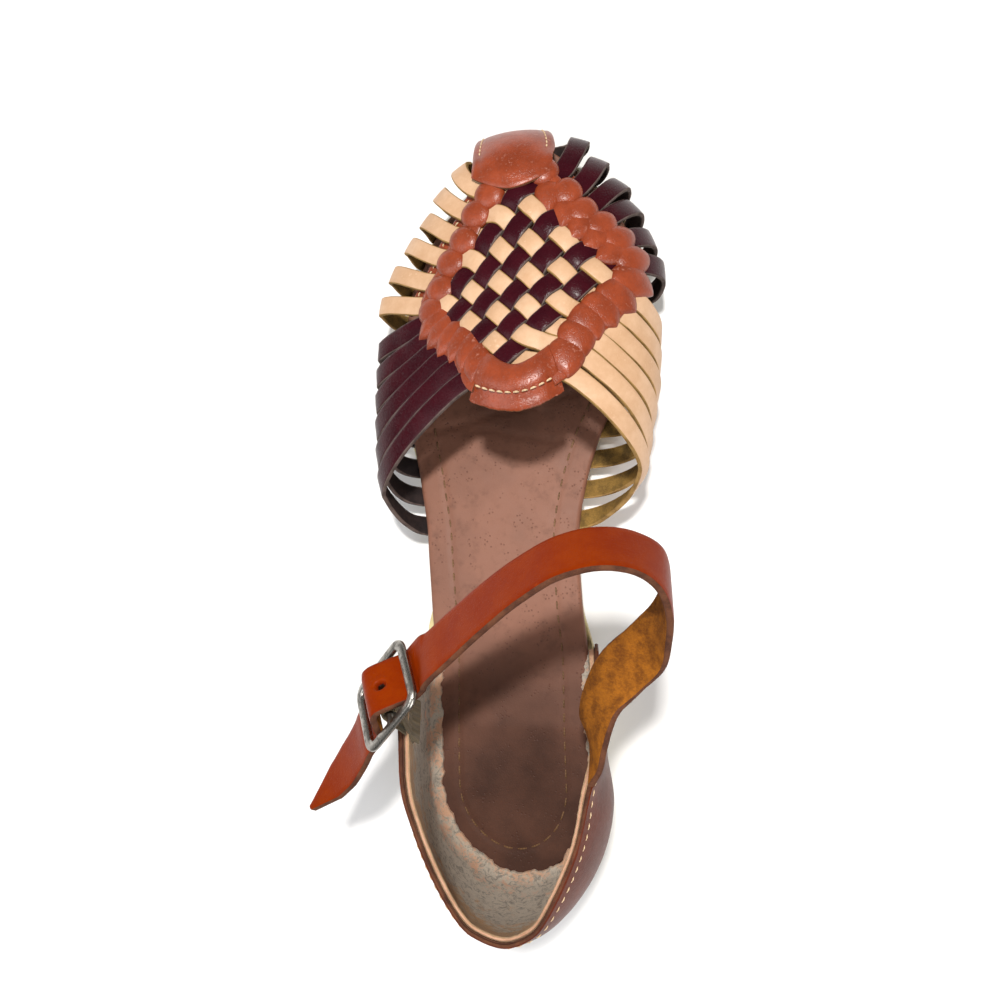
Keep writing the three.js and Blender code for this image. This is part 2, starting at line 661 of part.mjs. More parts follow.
function ribbonRing(centre, across, out, width, faces) {
  const corner = (side, height) => {
    const point = centre.clone().addScaledVector(across, (side * width) / 2);
    return point.addScaledVector(out, height);
  };
  return [corner(-1, faces[0]), corner(1, faces[0]), corner(1, faces[1]), corner(-1, faces[1])];
}

function buildUpper() {
  const fractions = steps(0, 1, strapsInFan - 1);
  const straps = strapFans.flatMap((fan) => fractions.map((fraction) => buildStrap(fan, fraction)));
  return join([buildWovenWall(), ...straps]);
}

// ---------------------------------------------------------------------------------------------
// Vamp frame: the ring that stands proud round the weave, with its toe tab
// ---------------------------------------------------------------------------------------------

function buildFrameRing() {
  const sectors = 48;
  const puff = 0.5;
  const rings = steps(0, 360 - 360 / sectors, sectors - 1).map((angle) => {
    const inner = frameRadius(angle, "inner");
    const outer = frameRadius(angle, "outer");
    const at = (radius, distance) => {
      const plan = framePlan(angle, radius);
      return overForm(plan.x, plan.y, distance);
    };
    return [
      at(inner, frameLift),
      at((inner + outer) / 2, frameLift),
      at(outer, frameLift),
      at(outer, frameLift + frameThickness),
      at((inner + outer) / 2, frameLift + frameThickness + puff),
      at(inner, frameLift + frameThickness),
    ];
  });
  return loft(rings, true);
}

const tabAcross = [-1, -0.6, 0, 0.6, 1];

// Inner points of the tab at one station, from its lateral to its medial edge.
function tabRow(y, level, lateral, medial, drop) {
  return tabAcross.map((side) => {
    const x = (lateral + medial) / 2 + (side * (medial - lateral)) / 2;
    return new THREE.Vector3(x, y, level - drop * side * side);
  });
}

function buildToeTab() {
  const formRows = steps(toeTabStart, toeTabFormEnd, 2).map((y) => {
    return tabAcross.map((side) => {
      const halfWidth = (toeTabWidth.medial - toeTabWidth.lateral) / 2;
      const x = (toeTabWidth.medial + toeTabWidth.lateral) / 2 + side * halfWidth;
      return overForm(x, y, frameLift);
    });
  });
  const freeRows = toeTabTable.map((row) => tabRow(row.y, row.z, row.lateral, row.medial, row.drop));
  const tuckRows = [toeTabTuck.from, toeTabTuck.to].map((y) => {
    return tabRow(y, tuckLevel(y) - 0.1, toeTabTuck.lateral, toeTabTuck.medial, 0);
  });
  const inner = [...formRows, ...freeRows, ...tuckRows];
  const rings = inner.map((row, i) => {
    const before = inner[Math.max(i - 1, 0)][2];
    const after = inner[Math.min(i + 1, inner.length - 1)][2];
    const along = after.clone().sub(before).normalize();
    const out = new THREE.Vector3(1, 0, 0).cross(along).normalize();
    const outer = row.map((point) => point.clone().addScaledVector(out, frameThickness));
    return [...row, ...outer.reverse()];
  });
  return loft(rings);
}

function buildVampFrame() {
  return join([buildFrameRing(), buildToeTab()]);
}

// ---------------------------------------------------------------------------------------------
// Quarter
// ---------------------------------------------------------------------------------------------

// A point of the quarter's outer face: height 0 is its foot and 1 its rim.
function quarterPoint(turn, height) {
  const footY = column(quarterTable, "foot", turn);
  const edge = outline(footY);
  const footX = turn < 0 ? edge.lateral : edge.medial;
  const footOut = quarterFootOut(turn);
  const foot = new THREE.Vector3(footX, footY, soleTop(footY) + gap);
  foot.addScaledVector(footOut, quarterThickness + gap);
  const rimX = column(quarterTable, "rimX", turn);
  const rimY = column(quarterTable, "rimY", turn);
  const rimZ = soleTop(footY) + insoleTopRise + column(quarterTable, "rise", turn);
  const swell = column(quarterTable, "swell", turn) * 4 * height * (1 - height);
  const point = foot.lerp(new THREE.Vector3(rimX, rimY, rimZ), height);
  return point.addScaledVector(footOut, swell);
}

// Level direction square to the insole's outline at a place of the quarter's foot.
function quarterFootOut(turn) {
  const footAt = (place) => {
    const y = column(quarterTable, "foot", place);
    const edge = outline(y);
    return new THREE.Vector2(place < 0 ? edge.lateral : edge.medial, y);
  };
  const run = footAt(turn + 0.05).sub(footAt(turn - 0.05));
  return new THREE.Vector3(run.y, -run.x, 0).normalize();
}

function buildQuarter() {
  const heights = [0, 0.12, 0.3, 0.5, 0.7, 0.88, 1];
  const turns = [...steps(-6, -4, 4), ...steps(-3.5, 3, 19), ...steps(3.25, 6, 10)];
  const rings = turns.map((turn) => {
    const out = quarterFootOut(turn);
    const outer = heights.map((height) => quarterPoint(turn, height));
    const inner = heights.slice(1).map((height) => {
      return quarterPoint(turn, height).addScaledVector(out, -quarterThickness);
    });
    const foot = outer[0];
    const flangeReach = quarterThickness + gap + tuckLength;
    const flangeLow = foot.clone().addScaledVector(out, -flangeReach);
    const flangeHigh = flangeLow.clone().setZ(foot.z + strapThickness);
    const corner = foot.clone().addScaledVector(out, -quarterThickness).setZ(foot.z + strapThickness);
    return [flangeLow, ...outer, ...inner.reverse(), corner, flangeHigh];
  });
  return loft(rings);
}

// ---------------------------------------------------------------------------------------------
// Ankle strap
// ---------------------------------------------------------------------------------------------

const buckleAcross = buckleOut.clone().cross(buckleAlong).normalize();

function inBuckle(along, across, out) {
  const point = buckleCentre.clone().addScaledVector(buckleAlong, along);
  return point.addScaledVector(buckleAcross, across).addScaledVector(buckleOut, out);
}

// Direction across the free strap, from its lean and its run.
function leaningAcross(run, lean) {
  const up = new THREE.Vector3(0, 0, 1);
  up.addScaledVector(run, -run.z).normalize();
  const outward = run.clone().cross(up);
  return up.multiplyScalar(Math.cos(radians(lean))).addScaledVector(outward, Math.sin(radians(lean)));
}

function ankleStrapRows() {
  const placed = (row) => ({ centre: new THREE.Vector3(row.x, row.y, row.z), ...row });
  const free = ankleStrapTable.map(placed);
  const held = buckleStrapTable.map((row) => ({ centre: inBuckle(row.along, 0, row.out), ...row }));
  const tail = strapTailTable.map(placed);
  return [...free, ...held, ...tail];
}

function buildAnkleStrap() {
  const stationsPerRow = 2;
  const rows = ankleStrapRows();
  const curve = new THREE.CatmullRomCurve3(rows.map((row) => row.centre), false, "centripetal");
  const last = rows.length - 1;
  const rings = steps(0, last, last * stationsPerRow).map((place) => {
    const i = Math.min(Math.floor(place), last - 1);
    const f = place - i;
    const centre = curve.getPoint(place / last);
    const run = curve.getTangent(place / last);
    const acrossOf = (row) => (row.lean === undefined ? buckleAcross : leaningAcross(run, row.lean));
    const across = acrossOf(rows[i]).clone().lerp(acrossOf(rows[i + 1]), f);
    across.addScaledVector(run, -across.dot(run)).normalize();
    const out = run.clone().cross(across).normalize();
    const width = rows[i].width + (rows[i + 1].width - rows[i].width) * f;
    const half = ankleStrapThickness / 2;
    return ribbonRing(centre, across, out, width, [-half, half]);
  });
  return loft(rings);
}

// ---------------------------------------------------------------------------------------------
// Buckle, prong and elastic loop
// ---------------------------------------------------------------------------------------------

function buckleMatrix() {
  return new THREE.Matrix4().makeBasis(buckleAlong, buckleAcross, buckleOut).setPosition(buckleCentre);
}

function roundedRectangle(length, width, radius, target) {
  const x = length / 2;
  const y = width / 2;
  target.moveTo(-x + radius, -y);
  target.lineTo(x - radius, -y);
  target.absarc(x - radius, -y + radius, radius, -Math.PI / 2, 0, false);
  target.lineTo(x, y - radius);
  target.absarc(x - radius, y - radius, radius, 0, Math.PI / 2, false);
  target.lineTo(-x + radius, y);
  target.absarc(-x + radius, y - radius, radius, Math.PI / 2, Math.PI, false);
  target.lineTo(-x, -y + radius);
  target.absarc(-x + radius, -y + radius, radius, Math.PI, 1.5 * Math.PI, false);
  return target;
}

function buildBuckleFrame() {
  const bevel = 0.45;
  const grow = -2 * bevel;
  const outside = new THREE.Shape();
  const shape = roundedRectangle(buckle.length + grow, buckle.width + grow, buckle.corner, outside);
  const insideLength = buckle.length - 2 * buckle.bar - grow;
  const insideWidth = buckle.inside - grow;
  shape.holes.push(roundedRectangle(insideLength, insideWidth, buckle.corner / 2, new THREE.Path()));
  const ring = new THREE.ExtrudeGeometry(shape, {
    depth: buckle.thickness - 2 * bevel,
    bevelEnabled: true,
    bevelThickness: bevel,
    bevelSize: bevel,
    bevelSegments: 2,
    curveSegments: 5,
  });
  ring.translate(0, 0, -(buckle.thickness - 2 * bevel) / 2);
  const barLength = buckle.inside + 2 * centreBar.bite;
  const bar = new THREE.CylinderGeometry(centreBar.radius, centreBar.radius, barLength, 14);
  return join([ring, bar]).applyMatrix4(buckleMatrix());
}

function buildBuckleProng() {
  const eyeMiddle = (prong.eyeInner + prong.eyeOuter) / 2;
  const eye = new THREE.LatheGeometry(
    [
      new THREE.Vector2(prong.eyeInner, 0),
      new THREE.Vector2(prong.eyeOuter, 0),
      new THREE.Vector2(prong.eyeOuter, prong.eyeWidth),
      new THREE.Vector2(prong.eyeInner, prong.eyeWidth),
      new THREE.Vector2(prong.eyeInner, 0),
    ],
    18,
  );
  eye.translate(0, prong.eyeAt, 0);
  const root = new THREE.Vector3(0.4, prong.eyeAt + prong.eyeWidth / 2, -eyeMiddle - 0.3);
  const length = root.distanceTo(prongTip);
  const pin = new THREE.CylinderGeometry(prongPin.tipRadius, prongPin.rootRadius, length, 10);
  const turn = new THREE.Quaternion();
  turn.setFromUnitVectors(new THREE.Vector3(0, 1, 0), prongTip.clone().sub(root).normalize());
  pin.applyQuaternion(turn);
  pin.translate(...root.clone().add(prongTip).multiplyScalar(0.5).toArray());
  return join([eye, pin]).applyMatrix4(buckleMatrix());
}

// The strip's run is worked out in the plane across the bar: down is the way to the quarter.
function buildElasticLoop() {
  const toFoot = elasticFoot.clone().sub(buckleCentre);
  const down = new THREE.Vector2(toFoot.dot(buckleAlong), toFoot.dot(buckleOut)).normalize();
  const aside = new THREE.Vector2(-down.y, down.x);
  const ring = (depth, offset, share) => {
    const flat = down.clone().multiplyScalar(depth).addScaledVector(aside, offset);
    const above = inBuckle(flat.x, 0, flat.y);
    const layer = Math.sign(offset) * elastic.layerOffset;
    const below = elasticFoot.clone().addScaledVector(elasticFootOut, layer);
    const centre = above.lerp(below, share);
    return { centre, across: buckleAcross.clone().lerp(elasticFootAcross, share).normalize() };
  };
  const side = (sign) => [
    ring(0, sign, 1),
    ring(8, sign * 1.2, 0.66),
    ring(5, sign * 1.5, 0.33),
    ring(2.2, sign * elastic.loopRadius, 0.05),
  ];
  const arc = steps(100, 260, 6).map((angle) => {
    const radius = elastic.loopRadius;
    return ring(radius * Math.cos(radians(angle)), radius * Math.sin(radians(angle)), 0);
  });
  const stations = [...side(1), ...arc, ...side(-1).reverse()];
  const rings = stations.map(({ centre, across }, i) => {
    const before = stations[Math.max(i - 1, 0)].centre;
    const after = stations[Math.min(i + 1, stations.length - 1)].centre;
    const run = after.clone().sub(before).normalize();
    const out = run.clone().cross(across).normalize();
    const square = out.clone().cross(run).normalize();
    const half = elastic.thickness / 2;
    return ribbonRing(centre, square, out, elastic.width, [-half, half]);
  });
  return loft(rings);
}

// ---------------------------------------------------------------------------------------------
// The sandal
// ---------------------------------------------------------------------------------------------

const sandal = new THREE.Group();
sandal.name = "huarache_sandal";
sandal.add(piece("outsole", buildOutsole(), 0xd9cf95, 0.55));
sandal.add(piece("insole", buildInsole(), 0x8a5a45, 0.6));
sandal.add(piece("upper", buildUpper(), 0xd8a868, 0.5));
sandal.add(piece("vamp_frame", buildVampFrame(), 0xa5482a, 0.45));
sandal.add(piece("quarter", buildQuarter(), 0x7a3a22, 0.45));
sandal.add(piece("ankle_strap", buildAnkleStrap(), 0xa8451c, 0.4));
sandal.add(piece("buckle_frame", buildBuckleFrame(), 0x8d8a84, 0.35, 1));
sandal.add(piece("buckle_prong", buildBuckleProng(), 0x8d8a84, 0.35, 1));
sandal.add(piece("elastic_loop", buildElasticLoop(), 0x8b7440, 0.9));

export default sandal;
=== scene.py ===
"""Looks of a woven huarache sandal, left foot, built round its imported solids.

Lengths are millimetres until a mesh is made, where they become metres. +Y points to the toe, +X
to the medial side and +Z up from the floor. Straps, frame, quarter and soles are grids of points
worked out over the foot's form, and every finish is a material made of nodes.
"""

import json
import logging
import math
from dataclasses import dataclass, field
from enum import Enum
from typing import Any, Sequence

import bpy
import numpy as np
from mathutils import Matrix, Vector

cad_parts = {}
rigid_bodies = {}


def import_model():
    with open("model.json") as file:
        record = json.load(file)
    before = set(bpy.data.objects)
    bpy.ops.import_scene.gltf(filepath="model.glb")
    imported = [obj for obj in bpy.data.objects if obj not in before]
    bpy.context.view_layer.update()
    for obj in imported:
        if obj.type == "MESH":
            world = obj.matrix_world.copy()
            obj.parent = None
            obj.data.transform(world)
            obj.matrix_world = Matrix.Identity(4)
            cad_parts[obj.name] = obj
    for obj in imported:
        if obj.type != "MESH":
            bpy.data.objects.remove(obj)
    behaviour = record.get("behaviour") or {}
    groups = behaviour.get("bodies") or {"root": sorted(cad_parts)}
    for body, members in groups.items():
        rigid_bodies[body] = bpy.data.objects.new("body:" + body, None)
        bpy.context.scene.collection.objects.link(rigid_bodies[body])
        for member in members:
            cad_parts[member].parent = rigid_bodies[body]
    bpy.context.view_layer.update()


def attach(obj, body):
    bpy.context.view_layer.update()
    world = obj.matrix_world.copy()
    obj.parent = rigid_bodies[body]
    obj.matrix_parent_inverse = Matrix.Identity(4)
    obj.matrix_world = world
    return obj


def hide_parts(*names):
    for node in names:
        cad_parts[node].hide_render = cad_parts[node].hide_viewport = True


LOG = logging.getLogger("sandal")
METRES = 0.001
BODY = "root"
SEED = 24

for _spare in list(bpy.data.objects):
    bpy.data.objects.remove(_spare)
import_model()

Array = np.ndarray
Colour = tuple[float, float, float]
Triple = tuple[float, float, float]


# ---- Tables and curves ----


class Table:
    """Named columns over a key column, joined by cubics that never overshoot their rows."""

    def __init__(self, header: str, rows: Sequence[Sequence[float]]) -> None:
        """Keeps the rows.

        Args:
            header: Column names, the key's first, parted by spaces.
            rows: One row of numbers for each place along the key.
        """
        names = header.split()
        values = np.array(rows, float)
        self.key = values[:, 0]
        self.columns = {name: values[:, i] for i, name in enumerate(names)}

    def at(self, name: str, place: Array | float) -> Array:
        """Reads a column between its rows.

        The slope at a row is the harmonic mean of the slopes before and after it, or 0 where
        they differ in sign. Between rows the value is the cubic with those two end slopes.

        Args:
            name: The column.
            place: Where along the key, held inside its range.

        Returns:
            The column's value at each place.
        """
        values = self.columns[name]
        secants = np.diff(values) / np.diff(self.key)
        before = np.concatenate([secants[:1], secants])
        after = np.concatenate([secants, secants[-1:]])
        same = before * after > 0
        total = np.where(same, before + after, 1.0)
        slopes = np.where(same, 2 * before * after / total, 0.0)
        spot = np.clip(place, self.key[0], self.key[-1])
        row = np.clip(np.searchsorted(self.key, spot) - 1, 0, len(self.key) - 2)
        span = self.key[row + 1] - self.key[row]
        f = (spot - self.key[row]) / span
        share = f * f * (3 - 2 * f)
        rise = values[row + 1] - values[row]
        start = slopes[row] * span * f * (1 - f) ** 2
        end = slopes[row + 1] * span * f * f * (1 - f)
        return values[row] + rise * share + start - end


def unit(vectors: Array) -> Array:
    """Returns vectors of length 1 along the last axis."""
    return vectors / np.maximum(np.linalg.norm(vectors, axis=-1, keepdims=True), 1e-12)


def square_to(vectors: Array, run: Array) -> Array:
    """Returns unit vectors: each vector less its share along the unit direction beside it."""
    return unit(vectors - run * np.sum(vectors * run, axis=1, keepdims=True))


def travel_along(points: Array) -> Array:
    """Returns the length of a polyline up to each of its points."""
    hops = np.linalg.norm(np.diff(points, axis=0), axis=1)
    return np.concatenate([[0.0], np.cumsum(hops)])


def smooth_path(knots: Array, key: Array, places: Array) -> Array:
    """Carries a smooth curve through knots.

    The slope at a knot is the mean of the slopes on its two sides, each weighted by the other
    side's length, and between knots the curve is the cubic with those end slopes.

    Args:
        knots: Points of any dimension, one row each.
        key: The curve's parameter at each knot.
        places: Where to read the curve.

    Returns:
        One point for each place.
    """
    spans = np.diff(key)[:, None]
    secants = np.diff(knots, axis=0) / spans
    inner = (secants[:-1] * spans[1:] + secants[1:] * spans[:-1]) / (spans[1:] + spans[:-1])
    slopes = np.concatenate([secants[:1], inner, secants[-1:]])
    row = np.clip(np.searchsorted(key, places) - 1, 0, len(key) - 2)
    span = (key[row + 1] - key[row])[:, None]
    f = ((places - key[row]) / span[:, 0])[:, None]
    start = (1 + 2 * f) * (1 - f) ** 2 * knots[row] + f * (1 - f) ** 2 * span * slopes[row]
    end = f * f * (3 - 2 * f) * knots[row + 1] - f * f * (1 - f) * span * slopes[row + 1]
    return start + end


def carried(centres: Array, across: Array, places: Array) -> tuple[Array, Array, Array]:
    """Carries a middle line and the direction across it smoothly through their rows.

    Args:
        centres: The line's points.
        across: The direction across at each.
        places: How far along the line to read both.

    Returns:
        The line's points, and the unit directions across and out of it.
    """
    key = travel_along(centres)
    line = smooth_path(centres, key, places)
    run = unit(np.gradient(line, axis=0))
    side = square_to(smooth_path(across, key, places), run)
    return line, side, unit(np.cross(run, side))


def smooth_polyline(knots: Array, step: float) -> Array:
    """Returns points about a step apart on a smooth curve through knots."""
    key = travel_along(knots)
    return smooth_path(knots, key, np.linspace(0, key[-1], max(4, int(key[-1] / step))))


def ripple(place: Array, seed: int, size: float) -> Array:
    """Sums three sines of unlike lengths, as a soft unevenness between about -1 and 1.

    Args:
        place: Where along an edge, in mm.
        seed: Shifts the sines, so that no two edges look alike.
        size: The longest wave, in mm.

    Returns:
        The unevenness at each place.
    """
    turn = 2 * math.pi * np.asarray(place) / size
    return (np.sin(turn + seed) + np.sin(2.3 * turn + 1.7 * seed) + np.sin(5.1 * turn + 2.9 * seed)) / 3


def mix(low: float | Array, high: float | Array, share: float | Array) -> Array:
    """Returns the value a share of the way from low to high."""
    return low + (high - low) * share


def ease(value: Array) -> Array:
    """Returns a soft step from 0 to 1 as the value goes from 0 to 1."""
    held = np.clip(value, 0, 1)
    return held * held * (3 - 2 * held)


# ---- Meshes ----


@dataclass
class Skin:
    """A closed skin, or several joined: points, four-sided and three-sided faces, and finishes.

    spots is each point's place on its own surface in mm, for patterns that follow it. tone is a
    number for each point that a material may read.
    """

    points: Array
    quads: Array
    triangles: Array
    quad_finish: Array
    triangle_finish: Array
    spots: Array
    tone: Array

    def outward(self) -> "Skin":
        """Turns the faces outward by the sign of the volume that they enclose.

        Returns:
            The same skin.
        """
        halves = np.concatenate([self.quads[:, :3], self.quads[:, [0, 2, 3]], self.triangles])
        a, b, c = (self.points[halves[:, i]] for i in range(3))
        if np.einsum("ij,ij->i", a, np.cross(b, c)).sum() < 0:
            self.quads = self.quads[:, ::-1]
            self.triangles = self.triangles[:, ::-1]
        return self


def joined(skins: Sequence[Skin]) -> Skin:
    """Puts several skins into one.

    Args:
        skins: The skins.

    Returns:
        One skin, its faces numbered on from each skin to the next.
    """
    starts = np.cumsum([0] + [len(skin.points) for skin in skins])
    return Skin(
        np.concatenate([skin.points for skin in skins]),
        np.concatenate([skin.quads + start for skin, start in zip(skins, starts)]),
        np.concatenate([skin.triangles + start for skin, start in zip(skins, starts)]),
        np.concatenate([skin.quad_finish for skin in skins]),
        np.concatenate([skin.triangle_finish for skin in skins]),
        np.concatenate([skin.spots for skin in skins]),
        np.concatenate([skin.tone for skin in skins]),
    )


def grid_quads(index: Array) -> Array:
    """Returns the four-sided faces between neighbouring rows and columns of point numbers."""
    corners = (index[:-1, :-1], index[1:, :-1], index[1:, 1:], index[:-1, 1:])
    return np.stack([corner.reshape(-1) for corner in corners], axis=1)


def grid_spots(along: Array, across: Array) -> Array:
    """Returns each grid point's place on the surface, from its row's and its column's travel."""
    return np.stack(np.broadcast_arrays(along[:, None], across[None, :]), axis=-1).reshape(-1, 2)


def loft(rings: Array, finish: Sequence[int] | int = 0, ends: int | None = None, closed: bool = False,
         tone: Array | float = 0.0) -> Skin:
    """Joins rings of equal length into one skin, with a fan of triangles over each open end.

    Args:
        rings: Points as (ring, place in the ring, xyz).
        finish: The finish of each strip between places of the ring, or one for all.
        ends: The finish of the end fans, or the first strip's.
        closed: Whether the last ring joins the first.
        tone: A tone for each point, or one for all.

    Returns:
        The closed skin, facing out.
    """
    count, size = rings.shape[:2]
    points = rings.reshape(-1, 3)
    index = np.arange(count * size).reshape(count, size)
    index = np.concatenate([index, index[:, :1]], axis=1)
    if closed:
        index = np.concatenate([index, index[:1]], axis=0)
    quads = grid_quads(index)
    strips = np.broadcast_to(finish, (size,))
    quad_finish = np.tile(strips, len(index) - 1)
    along = travel_along(rings.mean(axis=1))
    round_hops = np.linalg.norm(np.diff(rings, axis=1), axis=2).mean(axis=0)
    around = np.concatenate([[0.0], np.cumsum(round_hops)])
    spots = grid_spots(along, around)
    tones = np.broadcast_to(tone, (count, size)).reshape(-1)
    triangles = np.zeros((0, 3), int)
    if not closed:
        middles = rings[[0, -1]].mean(axis=1)
        first, last = index[0], index[-1]
        low = np.stack([np.full(size, len(points)), first[1:], first[:-1]], axis=1)
        high = np.stack([np.full(size, len(points) + 1), last[:-1], last[1:]], axis=1)
        triangles = np.concatenate([low, high])
        points = np.concatenate([points, middles])
        spots = np.concatenate([spots, spots[[0, -1]]])
        tones = np.concatenate([tones, tones[[0, -1]]])
    end_finish = strips[0] if ends is None else ends
    triangle_finish = np.full(len(triangles), end_finish)
    return Skin(points, quads, triangles, quad_finish, triangle_finish, spots, tones).outward()


def slab(outer: Array, inner: Array, finish: tuple[int, int, int], tone: Array | float = 0.0) -> Skin:
    """Closes two grids of points, one over the other, with walls along their borders.

    Args:
        outer: The outer face as (row, column, xyz).
        inner: The inner face, point for point.
        finish: Finishes of the outer face, the inner face and the walls.
        tone: A tone for each point of a face, or one for all.

    Returns:
        The closed skin, facing out.
    """
    rows, columns = outer.shape[:2]
    count = rows * columns
    index = np.arange(count).reshape(rows, columns)
    border = np.concatenate([index[:, 0], index[-1, 1:], index[-2::-1, -1], index[0, -2::-1]])
    walls = grid_quads(np.stack([border, border + count], axis=1))
    faces = [grid_quads(index), grid_quads(index)[:, ::-1] + count, walls]
    spots = grid_spots(travel_along(outer[:, columns // 2]), travel_along(outer[rows // 2]))
    tones = np.tile(np.broadcast_to(tone, (rows, columns)).reshape(-1), 2)
    points = np.concatenate([outer.reshape(-1, 3), inner.reshape(-1, 3)])
    quad_finish = np.repeat(finish, [len(part) for part in faces])
    return Skin(points, np.concatenate(faces), np.zeros((0, 3), int), quad_finish, np.zeros(0, int),
                np.tile(spots, (2, 1)), tones).outward()


def fringe(count: int, margin: float, inset: float) -> Array:
    """Returns shares from 0 to 1, even in between, with extra ones close to both ends.

    Args:
        count: How many even shares.
        margin: The width of the close zone at each end.
        inset: Where the one between the end and the margin lies.

    Returns:
        The rising shares.
    """
    middle = np.linspace(margin, 1 - margin, count)
    return np.concatenate([[0, inset], middle, [1 - inset, 1]])


def eased_edges(outer: Array, inner: Array, share: float, sides: Sequence[str]) -> tuple[Array, Array]:
    """Draws the border rows of two faces together, so that a slab's edge looks rounded.

    Args:
        outer: The outer grid.
        inner: The inner grid.
        share: How much of the thickness the border gives up on each face.
        sides: Which borders: any of first_row, last_row, first_column and last_column.

    Returns:
        The two grids with softened borders.
    """
    places = {
        "first_row": (0, slice(None)),
        "last_row": (-1, slice(None)),
        "first_column": (slice(None), 0),
        "last_column": (slice(None), -1),
    }
    top, low = outer.copy(), inner.copy()
    for side in sides:
        at = places[side]
        top[at] = mix(outer[at], inner[at], share)
        low[at] = mix(inner[at], outer[at], share)
    return top, low


def show(item: bpy.types.Object) -> None:
    """Puts an object into the scene."""
    bpy.context.scene.collection.objects.link(item)


def make_piece(name: str, skin: Skin, finishes: Sequence[bpy.types.Material], node: str,
               crease: float = 42.0) -> bpy.types.Object:
    """Makes the object of a skin, and ties it to the frame.

    Args:
        name: The piece's name.
        skin: Its closed skin, in mm.
        finishes: Its materials, in the order that the skin's finishes number them.
        node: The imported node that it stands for.
        crease: Edges turned by more than this many degrees stay sharp.

    Returns:
        The new object.
    """
    mesh = bpy.data.meshes.new(name)
    faces = skin.quads.tolist() + skin.triangles.tolist()
    mesh.from_pydata((skin.points * METRES).tolist(), [], faces)
    finish = np.concatenate([skin.quad_finish, skin.triangle_finish]).astype(np.int32)
    mesh.polygons.foreach_set("material_index", finish)
    corners = np.zeros(len(mesh.loops), np.int32)
    mesh.loops.foreach_get("vertex_index", corners)
    layer = mesh.uv_layers.new(name="place")
    layer.data.foreach_set("uv", (skin.spots[corners] * METRES).astype(np.float32).reshape(-1))
    tones = mesh.attributes.new("tone", "FLOAT", "POINT")
    tones.data.foreach_set("value", skin.tone.astype(np.float32))
    for material in finishes:
        mesh.materials.append(material)
    mesh.update()
    mesh.shade_smooth()
    mesh.set_sharp_from_angle(angle=math.radians(crease))
    piece = bpy.data.objects.new(name, mesh)
    show(piece)
    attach(piece, BODY)
    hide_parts(node)
    LOG.info("%s: %d faces", name, len(mesh.polygons))
    return piece


def round_rings(centre: Array, across: Array, out: Array, radius: Array, sides: int) -> Array:
    """Returns a circle of points round each point of a line.

    Args:
        centre: The line's points.
        across: One unit direction square to the line at each.
        out: The other one.
        radius: The radius at each.
        sides: Points of a circle.

    Returns:
        Points as (place on the line, place on the circle, xyz).
    """
    turn = np.arange(sides) * 2 * math.pi / sides
    spokes = np.cos(turn)[None, :, None] * across[:, None] + np.sin(turn)[None, :, None] * out[:, None]
    return centre[:, None] + spokes * radius[:, None, None]


def stitches(path: Array, normals: Array, length: float, space: float, radius: float,
             sink: float = 0.12) -> Skin:
    """Lays a row of short threads along a path.

    Each thread is a capsule of five six-sided rings. Its middle stands over the surface by its
    radius less the sink, and its ends dip into the needle holes.

    Args:
        path: Points of the seam.
        normals: The surface's normal at each point.
        length: A thread's length.
        space: The space between two threads.
        radius: The thread's radius.
        sink: How deep the thread is pulled in.

    Returns:
        All the threads as one skin.
    """
    key = travel_along(path)
    starts = np.arange(space, key[-1] - length, length + space)
    shares = np.array([0.0, 0.12, 0.5, 0.88, 1.0])
    girth = np.array([0.35, 0.8, 1.0, 0.8, 0.35])
    places = (starts[:, None] + shares[None, :] * length).reshape(-1)
    centre = smooth_path(path, key, places)
    out = unit(smooth_path(normals, key, places))
    run = unit(smooth_path(path, key, places + 0.1) - smooth_path(path, key, places - 0.1))
    across = unit(np.cross(out, run))
    dip = radius * 1.5 * (2 * np.tile(shares, len(starts)) - 1) ** 4
    centre = centre + out * (radius - sink - dip)[:, None]
    rings = round_rings(centre, across, out, np.tile(girth, len(starts)) * radius, 6)
    rings = rings.reshape(len(starts), len(shares), 6, 3)
    return joined([loft(thread, tone=float(i % 7) / 7) for i, thread in enumerate(rings)])


def tube(path: Array, radius: Array | float, sides: int) -> Skin:
    """Carries a circle along a path, its frame turned as little as the path allows.

    Args:
        path: Points of the middle line.
        radius: The radius at each point, or one for all.
        sides: Points of the circle.

    Returns:
        The closed skin.
    """
    run = unit(np.gradient(path, axis=0))
    helper = np.array([0.0, 0.0, 1.0]) if abs(run[0, 2]) < 0.9 else np.array([1.0, 0.0, 0.0])
    across = unit(np.cross(run, helper))
    out = unit(np.cross(across, run))
    return loft(round_rings(path, across, out, np.broadcast_to(radius, (len(path),)), sides))


# ---- Materials ----


